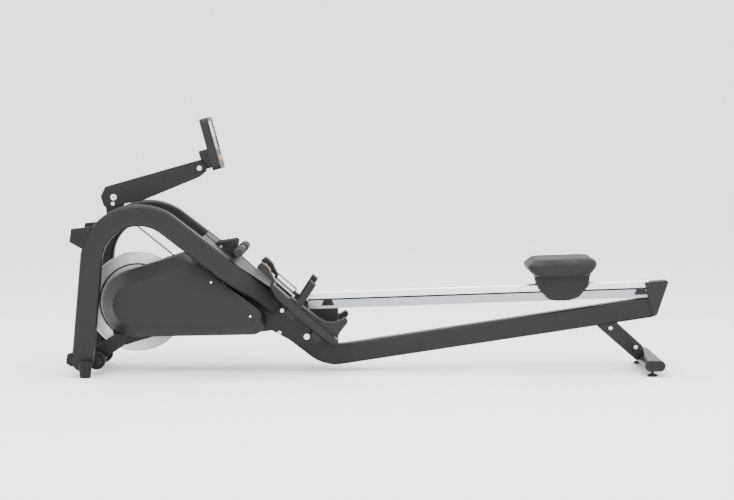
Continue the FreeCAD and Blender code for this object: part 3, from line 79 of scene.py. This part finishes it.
# flywheel centre, and the lower front corner, slope and height of the rail, in metres
AXLE = (-0.8725, 0.0, 0.258)
RAIL_FOOT = (-0.2325, 0.231)
RAIL_SLOPE = math.tan(math.radians(1.98))
RAIL_TALL = 64 * MM
# height band of the rail's groove, where painted shade is put into the base colour
GROOVE_LOW = 31 * MM
GROOVE_HIGH = 37 * MM
TOOL_RING = 1.2 * MM
DISPLAY_SPLIT = 0.45

# meshes
MERGE_WITHIN = 0.02 * MM
BEVEL_OVER = math.radians(35)
SHARP_OVER = math.radians(40)
PAD_RELAX = 4
PAD_TENSION = 40.0
PAD_QUALITY = 6
STRAP_STEPS = 12

# the slider bar is the narrow part at the toe end of each foot bed
BAR_HALF = 4.2 * MM
BAR_SHARE = 0.36

# bolt caps
CAP_SIDES = 32
SOCKET_SHARE = 0.45
SOCKET_STAND = 0.2 * MM
CAP_STAND = 0.6 * MM

# studio: name, place, size and power of each lamp
LAMPS = (("key", (-1.5, -3.5, 4.0), 3.0, 170.0),
         ("fill", (3.0, -3.0, 2.5), 3.0, 90.0),
         ("top", (0.0, 0.5, 4.5), 4.0, 150.0))
LAMP_AIM = (0, 0, 0.4)
SKY_STRENGTH = 2.3
CAMERA_X = -0.0125
CAMERA_HEIGHT = 0.989
CAMERA_DIP = math.radians(3.55)
SENSOR_MM = 36.0
PLASTIC_SHEEN = 0.25


# ---------------------------------------------------------------- small helpers

def srgb(code):
    """Linear colour with alpha 1 from a six-digit sRGB hex code."""
    channels = [int(code[i:i + 2], 16) / 255 for i in (0, 2, 4)]
    linear = [c / 12.92 if c <= 0.04045 else ((c + 0.055) / 1.055) ** 2.4 for c in channels]
    return (*linear, 1.0)


def add_node(tree, kind, links=None, **values):
    """Adds a node, sets input sockets and properties by name, and links sockets into it."""
    new = tree.nodes.new(kind)
    for key, value in values.items():
        if key in new.inputs:
            new.inputs[key].default_value = value
        else:
            setattr(new, key, value)
    for socket, source in (links or {}).items():
        tree.links.new(source, new.inputs[socket])
    return new


def base_material(name, code, roughness, metallic=0.0):
    """New node material; returns it with its tree and its Principled BSDF."""
    made = bpy.data.materials.new(name)
    made.use_nodes = True
    tree = made.node_tree
    shader = next(n for n in tree.nodes if n.type == "BSDF_PRINCIPLED")
    shader.inputs["Base Color"].default_value = srgb(code)
    shader.inputs["Roughness"].default_value = roughness
    shader.inputs["Metallic"].default_value = metallic
    if not metallic:
        shader.inputs["Specular IOR Level"].default_value = PLASTIC_SHEEN
    return made, tree, shader


def grain_material(name, code, roughness, grain_mm, depth_mm, metallic=0.0):
    """Material with a fine moulded or sprayed grain of that pattern size."""
    made, tree, shader = base_material(name, code, roughness, metallic)
    where = add_node(tree, "ShaderNodeTexCoord")
    noise = add_node(tree, "ShaderNodeTexNoise", {"Vector": where.outputs["Object"]},
                     Scale=1.0 / (grain_mm * MM), Detail=3.0)
    bump = add_node(tree, "ShaderNodeBump", {"Height": noise.outputs[0]},
                    Strength=0.35, Distance=depth_mm * MM)
    tree.links.new(bump.outputs["Normal"], shader.inputs["Normal"])
    return made


def rib_material(name, code, roughness, pitch_mm, depth_mm, axis):
    """Material with straight ribs across one axis, for woven webbing and moulded grips."""
    made, tree, shader = base_material(name, code, roughness)
    where = add_node(tree, "ShaderNodeTexCoord")
    wave = add_node(tree, "ShaderNodeTexWave", {"Vector": where.outputs["Object"]},
                    wave_type="BANDS", bands_direction=axis, Scale=0.314 / (pitch_mm * MM))
    bump = add_node(tree, "ShaderNodeBump", {"Height": wave.outputs[1]},
                    Strength=0.8, Distance=depth_mm * MM)
    tree.links.new(bump.outputs["Normal"], shader.inputs["Normal"])
    return made


def turned_metal():
    """Machined aluminium disc: a painted highlight fans out from the axle in the base colour,
    with fine tool rings.
    """
    made, tree, shader = base_material("Machined aluminium", "b4b6b8", 0.34, 1.0)
    where = add_node(tree, "ShaderNodeTexCoord")
    centred = add_node(tree, "ShaderNodeVectorMath", {0: where.outputs["Object"]},
                       operation="SUBTRACT")
    centred.inputs[1].default_value = AXLE
    parts = add_node(tree, "ShaderNodeSeparateXYZ", {0: centred.outputs[0]})
    angle = add_node(tree, "ShaderNodeMath", {0: parts.outputs["Z"], 1: parts.outputs["X"]},
                     operation="ARCTAN2")
    double = add_node(tree, "ShaderNodeMath", {0: angle.outputs[0]}, operation="MULTIPLY")
    double.inputs[1].default_value = 2.0
    painted_highlight_fan = add_node(tree, "ShaderNodeMath", {0: double.outputs[0]}, operation="SINE")
    ramp = add_node(tree, "ShaderNodeMapRange", {"Value": painted_highlight_fan.outputs[0]})
    ramp.inputs["From Min"].default_value = -1.0
    # the lighter and darker greys turning round the axle are painted highlight and painted shade,
    # not the metal's own colour
    tint = add_node(tree, "ShaderNodeMix", {"Factor": ramp.outputs[0]}, data_type="RGBA")
    tint.inputs[6].default_value = srgb("8b8d90")
    tint.inputs[7].default_value = srgb("d2d4d6")
    tree.links.new(tint.outputs[2], shader.inputs["Base Color"])
    reach = add_node(tree, "ShaderNodeVectorMath", {0: centred.outputs[0]}, operation="LENGTH")
    rings = add_node(tree, "ShaderNodeMath", {0: reach.outputs["Value"]}, operation="MULTIPLY")
    rings.inputs[1].default_value = 2 * math.pi / TOOL_RING
    wave = add_node(tree, "ShaderNodeMath", {0: rings.outputs[0]}, operation="SINE")
    bump = add_node(tree, "ShaderNodeBump", {"Height": wave.outputs[0]},
                    Strength=0.15, Distance=0.03 * MM)
    tree.links.new(bump.outputs["Normal"], shader.inputs["Normal"])
    return made


def rail_metal():
    """Anodised extrusion with painted light in its base colour: a painted highlight on the bright
    upper flank, painted shade in the dark groove and on the duller lower flank.
    """
    made, tree, shader = base_material("Clear anodised aluminium", "d6d8da", 0.3, 1.0)
    where = add_node(tree, "ShaderNodeTexCoord")
    parts = add_node(tree, "ShaderNodeSeparateXYZ", {0: where.outputs["Object"]})
    along = add_node(tree, "ShaderNodeMath", {0: parts.outputs["X"]}, operation="SUBTRACT")
    along.inputs[1].default_value = RAIL_FOOT[0]
    rise = add_node(tree, "ShaderNodeMath", {0: along.outputs[0]}, operation="MULTIPLY")
    rise.inputs[1].default_value = RAIL_SLOPE
    above = add_node(tree, "ShaderNodeMath", {0: parts.outputs["Z"], 1: rise.outputs[0]},
                     operation="SUBTRACT")
    height = add_node(tree, "ShaderNodeMapRange", {"Value": above.outputs[0]})
    height.inputs["From Min"].default_value = RAIL_FOOT[1]
    height.inputs["From Max"].default_value = RAIL_FOOT[1] + RAIL_TALL
    # three height bands, all painted light: painted shade on the lower flank, painted shade in
    # the groove, a painted highlight on the upper flank
    painted_light_bands = add_node(tree, "ShaderNodeValToRGB", {"Fac": height.outputs[0]})
    painted_light_bands.color_ramp.interpolation = "CONSTANT"
    painted_light_bands.color_ramp.elements[0].color = srgb("a4a6a9")
    painted_light_bands.color_ramp.elements[1].position = GROOVE_HIGH / RAIL_TALL
    painted_light_bands.color_ramp.elements[1].color = srgb("e6e8ea")
    painted_light_bands.color_ramp.elements.new(GROOVE_LOW / RAIL_TALL).color = srgb("1c1d1e")
    tree.links.new(painted_light_bands.outputs["Color"], shader.inputs["Base Color"])
    return made


def screen_material(low, high):
    """Tinted display: pale upper window above a dark lower panel, split by height."""
    made, tree, shader = base_material("Tinted acrylic display", "1a1b1c", 0.18)
    where = add_node(tree, "ShaderNodeTexCoord")
    parts = add_node(tree, "ShaderNodeSeparateXYZ", {0: where.outputs["Object"]})
    split = add_node(tree, "ShaderNodeMath", {0: parts.outputs["Z"]}, operation="GREATER_THAN")
    split.inputs[1].default_value = low + DISPLAY_SPLIT * (high - low)
    tint = add_node(tree, "ShaderNodeMix", {"Factor": split.outputs[0]}, data_type="RGBA")
    tint.inputs[6].default_value = srgb("1a1b1c")
    tint.inputs[7].default_value = srgb("9aa19d")
    tree.links.new(tint.outputs[2], shader.inputs["Base Color"])
    return made


def make_materials():
    """Every finish, named for the real material it stands for, save the socket finish, which is
    painted shade.
    """
    low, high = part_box("console_screen")
    return {
        # sprayed steel frame
        "frame": grain_material("Black powder coat", "121213", 0.40, 0.8, 0.03),
        # injection-moulded covers
        "cover": grain_material("Textured black ABS", "161617", 0.50, 0.6, 0.05),
        "trim": grain_material("Black nylon", "111112", 0.5, 0.7, 0.03),
        # extruded rail
        "rail": rail_metal(),
        "disc": turned_metal(),
        # shafts, springs and small hardware
        "steel": grain_material("Zinc plated steel", "a8aaac", 0.32, 0.6, 0.01, 1.0),
        "bolt": base_material("Bright chromed steel", "e2e3e5", 0.16, 1.0)[0],
        # flat near-black for the hex sockets: painted shade standing for the recess in each bolt
        # cap
        "socket": base_material("Socket shadow", "0c0c0d", 0.6, 0.0)[0],
        "rubber": grain_material("Black rubber", "161617", 0.78, 0.9, 0.05),
        # polyester webbing of the pull strap and the foot straps
        "webbing": rib_material("Woven polyester webbing", "1d1d1f", 0.85, 1.6, 0.25, "Y"),
        "strap": rib_material("Foot strap webbing", "202022", 0.85, 3.0, 0.5, "Z"),
        "seat": grain_material("Moulded polyurethane skin", "171718", 0.58, 1.6, 0.12),
        "grip": rib_material("Ribbed grip rubber", "1c1c1d", 0.7, 6.0, 1.0, "Y"),
        "accent": base_material("Orange anodised accent", "9a6a2a", 0.4, 0.3)[0],
        "keys": base_material("Orange printed keys", "c07a2c", 0.45)[0],
        "screen": screen_material(low.z, high.z),
        "roller": base_material("White nylon", "d4d3ce", 0.5)[0],
    }


FINISH = {
    "frame": ("arch_left", "arch_right", "front_frame", "upper_cross_tube", "core_plate_left",
              "core_plate_right", "main_beam", "rail_bracket", "rear_leg", "rear_bar",
              "console_mount", "console_arm", "seat_side_frame", "handle_bar"),
    "cover": ("cover_left", "cover_right", "centre_shroud", "console_back", "footplate_left",
              "footplate_right", "foot_bed_left", "foot_bed_right", "end_housing",
              "handle_cradle"),
    "trim": ("rear_bar_caps", "console_bezel", "rail_stops", "seat_base", "drive_pulley",
             "top_pulley", "guide_roller", "strap_drum"),
    "rail": ("rail",),
    "disc": ("flywheel",),
    "steel": ("flywheel_pulley", "flywheel_bearings", "drive_axles", "return_spring",
              "magnet_brake"),
    "bolt": ("arm_bolts", "cover_screws", "frame_bolts"),
    "rubber": ("front_feet", "storage_pads", "transport_wheels", "drive_belt",
               "level_foot_left", "level_foot_right"),
    "webbing": ("drive_strap", "strap_tail"),
    "strap": ("foot_straps",),
    "accent": ("foot_latch_left", "foot_latch_right"),
    "seat": ("seat_cushion",),
    "grip": ("handle_grips",),
    "screen": ("console_screen",),
    "keys": ("console_keys",),
    "roller": ("seat_glides", "seat_rollers_front", "seat_rollers_rear"),
}


def node_body(name):
    """Body that a CAD node belongs to."""
    return frame["nodes"][name]["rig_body"]


def baked(obj):
    """The object's mesh with its modifiers applied, put back on the object without them."""
    bpy.context.view_layer.update()
    graph = bpy.context.evaluated_depsgraph_get()
    mesh = bpy.data.meshes.new_from_object(obj.evaluated_get(graph), depsgraph=graph)
    obj.modifiers.clear()
    obj.data = mesh
    return obj


def copy_of(node, name):
    """A free, merged copy of a CAD node, with clean normals."""
    mesh = frame["nodes"][node].data.copy()
    if mesh.has_custom_normals:
        mesh.attributes.remove(mesh.attributes["custom_normal"])
    shape = bmesh.new()
    shape.from_mesh(mesh)
    bmesh.ops.remove_doubles(shape, verts=shape.verts, dist=MERGE_WITHIN)
    bmesh.ops.recalc_face_normals(shape, faces=shape.faces)
    shape.to_mesh(mesh)
    shape.free()
    obj = bpy.data.objects.new(name, mesh)
    bpy.context.scene.collection.objects.link(obj)
    return obj


def dressed(obj, *materials):
    """The object's mesh with only these materials."""
    obj.data.materials.clear()
    for material in materials:
        obj.data.materials.append(material)
    return obj


# ---------------------------------------------------------------- settings

class RowerEdgeSettings(bpy.types.PropertyGroup):
    width: bpy.props.FloatProperty(name="Edge width", unit="LENGTH", default=1.2 * MM,
                                   description="Rounding of moulded edges")
    segments: bpy.props.IntProperty(name="Edge segments", default=2,
                                    description="Facets across each rounded edge")


class RowerSeatSettings(bpy.types.PropertyGroup):
    voxel: bpy.props.FloatProperty(name="Skin grid", unit="LENGTH", default=5 * MM,
                                   description="Grid size of the pad's skin")
    pressure: bpy.props.FloatProperty(name="Fill pressure", default=4.0,
                                      description="How hard the filling pushes out")
    cap: bpy.props.FloatProperty(name="Swell limit", unit="LENGTH", default=6 * MM,
                                 description="Furthest the skin may move from its pattern")
    frames: bpy.props.IntProperty(name="Frames", default=20,
                                  description="Length of the cloth simulation")


class RowerBoltSettings(bpy.types.PropertyGroup):
    radius: bpy.props.FloatProperty(name="Cap radius", unit="LENGTH", default=7 * MM,
                                    description="Radius of each bright bolt cap")
    height: bpy.props.FloatProperty(name="Cap height", unit="LENGTH", default=3 * MM,
                                    description="How far a cap stands off its seat")


class RowerStageSettings(bpy.types.PropertyGroup):
    floor: bpy.props.FloatProperty(name="Floor size", unit="LENGTH", default=40.0,
                                   description="Side of the plain floor")
    distance: bpy.props.FloatProperty(name="Camera distance", unit="LENGTH", default=8.68,
                                      description="Camera distance from the machine's middle")
    lens: bpy.props.FloatProperty(name="Lens", default=113.8,
                                  description="Focal length in millimetres")


LOOKS = {}


def looks():
    """The finishes, made once."""
    if not LOOKS:
        LOOKS.update(make_materials())
    return LOOKS


# ---------------------------------------------------------------- pieces

class RowerPaint(bpy.types.Operator):
    """Gives every CAD node its finish"""
    bl_idname = "rower.paint"
    bl_label = "Finishes"

    def execute(self, context):
        done = set()
        for finish, names in FINISH.items():
            for name in names:
                dressed(frame["nodes"][name], looks()[finish])
                done.add(name)
        left = sorted(set(frame["nodes"]) - done)
        if left:
            raise RuntimeError(f"no finish for {left}")
        return {"FINISHED"}


SOFT_EDGED = ("cover_left", "cover_right", "centre_shroud", "end_housing", "handle_cradle",
              "console_back", "footplate_left", "footplate_right", "core_plate_left",
              "core_plate_right", "rear_leg")


class RowerMouldings(bpy.types.Operator):
    """Covers, plates and shells with rounded moulded edges"""
    bl_idname = "rower.mouldings"
    bl_label = "Mouldings"

    def execute(self, context):
        settings = context.scene.rower_edges
        for node in SOFT_EDGED:
            piece = copy_of(node, f"{node}_shell")
            bevel = piece.modifiers.new("Edge", "BEVEL")
            bevel.width = settings.width
            bevel.segments = settings.segments
            bevel.limit_method = "ANGLE"
            bevel.angle_limit = BEVEL_OVER
            bevel.use_clamp_overlap = True
            baked(piece)
            piece.data.shade_smooth()
            piece.data.set_sharp_from_angle(angle=SHARP_OVER)
            finish = next(key for key, names in FINISH.items() if node in names)
            dressed(piece, looks()[finish])
            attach(piece, node_body(node))
            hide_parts(node)
        return {"FINISHED"}


class RowerFootBeds(bpy.types.Operator):
    """Heel cups in black with their bright slider bars"""
    bl_idname = "rower.foot_beds"
    bl_label = "Foot beds"

    def execute(self, context):
        for side in ("left", "right"):
            node = f"foot_bed_{side}"
            piece = copy_of(node, f"{node}_shell")
            dressed(piece, looks()["cover"], looks()["steel"])
            low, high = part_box(node)
            middle = (low.y + high.y) / 2
            edge = low.x + BAR_SHARE * (high.x - low.x)
            for face in piece.data.polygons:
                narrow = all(abs(piece.data.vertices[i].co.y - middle) < BAR_HALF
                             for i in face.vertices)
                face.material_index = 1 if narrow and face.center.x < edge else 0
            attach(piece, node_body(node))
            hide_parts(node)
        return {"FINISHED"}


def inflate(pad, settings):
    """Blows the pad's skin out like a filled cover and caps how far it moves."""
    start = [v.co.copy() for v in pad.data.vertices]
    cloth = pad.modifiers.new("Fill", "CLOTH")
    cloth.settings.use_pressure = True
    cloth.settings.uniform_pressure_force = settings.pressure
    cloth.settings.effector_weights.gravity = 0.0
    cloth.settings.tension_stiffness = PAD_TENSION
    cloth.settings.quality = PAD_QUALITY
    cloth.point_cache.frame_start = 1
    cloth.point_cache.frame_end = settings.frames
    for number in range(1, settings.frames + 1):
        bpy.context.scene.frame_set(number)
    baked(pad)
    bpy.context.scene.frame_set(1)
    for vertex, rest in zip(pad.data.vertices, start):
        moved = vertex.co - rest
        if moved.length > settings.cap:
            vertex.co = rest + moved.normalized() * settings.cap


class RowerSeatPad(bpy.types.Operator):
    """Moulded foam seat pad"""
    bl_idname = "rower.seat_pad"
    bl_label = "Seat pad"

    def execute(self, context):
        settings = context.scene.rower_seat
        pad = copy_of("seat_cushion", "seat_pad")
        remesh = pad.modifiers.new("Skin", "REMESH")
        remesh.mode = "VOXEL"
        remesh.voxel_size = settings.voxel
        smooth = pad.modifiers.new("Relax", "SMOOTH")
        smooth.iterations = PAD_RELAX
        baked(pad)
        inflate(pad, settings)
        finer = pad.modifiers.new("Finer", "SUBSURF")
        finer.levels = 1
        baked(pad)
        pad.data.shade_smooth()
        dressed(pad, looks()["seat"])
        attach(pad, "seat")
        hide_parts("seat_cushion")
        return {"FINISHED"}


class RowerStrapTail(bpy.types.Operator):
    """Webbing between the guide roller and the handle, which the real handle draws out when
    pulled; here it is sliced into even steps along its length.
    """
    bl_idname = "rower.strap_tail"
    bl_label = "Pull strap"

    def execute(self, context):
        tail = copy_of("strap_tail", "pull_strap")
        low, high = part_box("strap_tail")
        shape = bmesh.new()
        shape.from_mesh(tail.data)
        for step in range(1, STRAP_STEPS):
            x = low.x + (high.x - low.x) * step / STRAP_STEPS
            bmesh.ops.bisect_plane(shape, geom=shape.verts[:] + shape.edges[:] + shape.faces[:],
                                   plane_co=(x, 0, 0), plane_no=(1, 0, 0))
        shape.to_mesh(tail.data)
        shape.free()
        dressed(tail, looks()["webbing"])
        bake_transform(tail)
        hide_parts("strap_tail")
        return {"FINISHED"}


def bolt_group(cap, socket):
    """Geometry Nodes group that sets a socket-headed cap on every point of a mesh."""
    tree = bpy.data.node_groups.new("Bolt caps", "GeometryNodeTree")
    face = tree.interface
    face.new_socket("Geometry", in_out="INPUT", socket_type="NodeSocketGeometry")
    face.new_socket("Radius", in_out="INPUT", socket_type="NodeSocketFloat")
    face.new_socket("Height", in_out="INPUT", socket_type="NodeSocketFloat")
    face.new_socket("Geometry", in_out="OUTPUT", socket_type="NodeSocketGeometry")
    start = add_node(tree, "NodeGroupInput")
    end = add_node(tree, "NodeGroupOutput")
    head = add_node(tree, "GeometryNodeMeshCylinder",
                    {"Radius": start.outputs["Radius"], "Depth": start.outputs["Height"]},
                    Vertices=CAP_SIDES)
    inner = add_node(tree, "ShaderNodeMath", {0: start.outputs["Radius"]}, operation="MULTIPLY")
    inner.inputs[1].default_value = SOCKET_SHARE
    taller = add_node(tree, "ShaderNodeMath", {0: start.outputs["Height"]}, operation="ADD")
    taller.inputs[1].default_value = SOCKET_STAND
    # the dark hexagon standing just proud of the cap is painted shade for the socket recess
    hexagon = add_node(tree, "GeometryNodeMeshCylinder",
                       {"Radius": inner.outputs[0], "Depth": taller.outputs[0]}, Vertices=6)
    bright = add_node(tree, "GeometryNodeSetMaterial", {"Geometry": head.outputs["Mesh"]},
                      Material=cap)
    dark = add_node(tree, "GeometryNodeSetMaterial", {"Geometry": hexagon.outputs["Mesh"]},
                    Material=socket)
    both = add_node(tree, "GeometryNodeJoinGeometry")
    tree.links.new(bright.outputs[0], both.inputs[0])
    tree.links.new(dark.outputs[0], both.inputs[0])
    turn = add_node(tree, "GeometryNodeTransform", {"Geometry": both.outputs[0]},
                    Rotation=(math.pi / 2, 0, 0))
    spread = add_node(tree, "GeometryNodeInstanceOnPoints",
                      {"Points": start.outputs["Geometry"], "Instance": turn.outputs[0]})
    real = add_node(tree, "GeometryNodeRealizeInstances", {"Geometry": spread.outputs[0]})
    tree.links.new(real.outputs[0], end.inputs[0])
    return tree


def copy_of_mesh(node):
    """Merged copy of a CAD node's mesh, with no object left in the scene."""
    piece = copy_of(node, f"{node}_probe")
    mesh = piece.data
    bpy.data.objects.remove(piece)
    return mesh


def head_points(node):
    """Outer face centre of each separate bolt head, taken as facing out along Y."""
    shape = bmesh.new()
    shape.from_mesh(copy_of_mesh(node))
    points = []
    waiting = set(shape.verts)
    while waiting:
        island = {waiting.pop()}
        edge = list(island)
        while edge:
            vertex = edge.pop()
            for link in vertex.link_edges:
                other = link.other_vert(vertex)
                if other in waiting:
                    waiting.discard(other)
                    island.add(other)
                    edge.append(other)
        xs, ys, zs = ([v.co[i] for v in island] for i in range(3))
        outward = max(ys) if sum(ys) > 0 else min(ys)
        points.append(((min(xs) + max(xs)) / 2, outward, (min(zs) + max(zs)) / 2))
    shape.free()
    return points


class RowerBolts(bpy.types.Operator):
    """Bright socket caps over the visible frame bolts"""
    bl_idname = "rower.bolts"
    bl_label = "Bolt caps"

    def execute(self, context):
        settings = context.scene.rower_bolts
        points = head_points("frame_bolts")
        inset = settings.height / 2 - CAP_STAND
        placed = [(x, y - math.copysign(inset, y), z) for x, y, z in points]
        mesh = bpy.data.meshes.new("bolt_caps")
        mesh.from_pydata(placed, [], [])
        caps = bpy.data.objects.new("bolt_caps", mesh)
        context.scene.collection.objects.link(caps)
        tree = bolt_group(looks()["bolt"], looks()["socket"])
        repeat = caps.modifiers.new("Caps", "NODES")
        repeat.node_group = tree
        for item in tree.interface.items_tree:
            if item.in_out == "INPUT" and item.name == "Radius":
                repeat[item.identifier] = settings.radius
            if item.in_out == "INPUT" and item.name == "Height":
                repeat[item.identifier] = settings.height
        baked(caps)
        if not len(caps.data.polygons):
            raise RuntimeError("no bolt caps were made")
        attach(caps, "frame")
        return {"FINISHED"}


# ---------------------------------------------------------------- studio

class RowerStage(bpy.types.Operator):
    """Plain floor, soft lights and the camera"""
    bl_idname = "rower.stage"
    bl_label = "Studio"

    def execute(self, context):
        settings = context.scene.rower_stage
        for name in ("Cube", "Light", "Camera"):
            if name in bpy.data.objects:
                bpy.data.objects.remove(bpy.data.objects[name])
        half = settings.floor / 2
        mesh = bpy.data.meshes.new("floor")
        mesh.from_pydata([(-half, -half, 0), (half, -half, 0), (half, half, 0), (-half, half, 0)],
                         [], [(0, 1, 2, 3)])
        floor = bpy.data.objects.new("floor", mesh)
        context.scene.collection.objects.link(floor)
        dressed(floor, base_material("Pale studio floor", "ffffff", 0.95)[0])
        for name, place, size, power in LAMPS:
            lamp = bpy.data.lights.new(name, "AREA")
            lamp.size = size
            lamp.energy = power
            light = bpy.data.objects.new(name, lamp)
            light.location = place
            light.rotation_euler = (Vector(LAMP_AIM) - light.location).to_track_quat(
                "-Z", "Y").to_euler()
            context.scene.collection.objects.link(light)
        world = context.scene.world or bpy.data.worlds.new("Studio")
        context.scene.world = world
        world.use_nodes = True
        sky = next(n for n in world.node_tree.nodes if n.type == "BACKGROUND")
        sky.inputs["Color"].default_value = srgb("ffffff")
        sky.inputs["Strength"].default_value = SKY_STRENGTH
        lens = bpy.data.cameras.new("camera")
        lens.lens = settings.lens
        lens.sensor_width = SENSOR_MM
        camera = bpy.data.objects.new("camera", lens)
        camera.location = (CAMERA_X, -settings.distance, CAMERA_HEIGHT)
        camera.rotation_euler = (math.pi / 2 - CAMERA_DIP, 0, 0)
        context.scene.collection.objects.link(camera)
        context.scene.camera = camera
        return {"FINISHED"}


# ---------------------------------------------------------------- add-on

class ROWER_PT_panel(bpy.types.Panel):
    bl_label = "Rower"
    bl_idname = "ROWER_PT_panel"
    bl_space_type = "VIEW_3D"
    bl_region_type = "UI"
    bl_category = "Rower"

    def draw(self, context):
        for operator in OPERATORS:
            self.layout.operator(operator.bl_idname)
        for group in (context.scene.rower_edges, context.scene.rower_seat,
                      context.scene.rower_bolts, context.scene.rower_stage):
            for name in group.__annotations__:
                self.layout.prop(group, name)


OPERATORS = (RowerPaint, RowerMouldings, RowerFootBeds, RowerSeatPad, RowerStrapTail,
             RowerBolts, RowerStage)
GROUPS = {"rower_edges": RowerEdgeSettings, "rower_seat": RowerSeatSettings,
          "rower_bolts": RowerBoltSettings, "rower_stage": RowerStageSettings}


def register():
    for kind in (*GROUPS.values(), *OPERATORS, ROWER_PT_panel):
        bpy.utils.register_class(kind)
    for name, kind in GROUPS.items():
        setattr(bpy.types.Scene, name, bpy.props.PointerProperty(type=kind))


def unregister():
    for name in GROUPS:
        delattr(bpy.types.Scene, name)
    for kind in reversed((*GROUPS.values(), *OPERATORS, ROWER_PT_panel)):
        bpy.utils.unregister_class(kind)


def main():
    register()
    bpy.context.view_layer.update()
    bpy.ops.rower.paint()
    bpy.ops.rower.mouldings()
    bpy.ops.rower.foot_beds()
    bpy.ops.rower.seat_pad()
    bpy.ops.rower.strap_tail()
    bpy.ops.rower.bolts()
    bpy.ops.rower.stage()


if __name__ == "__main__":
    main()
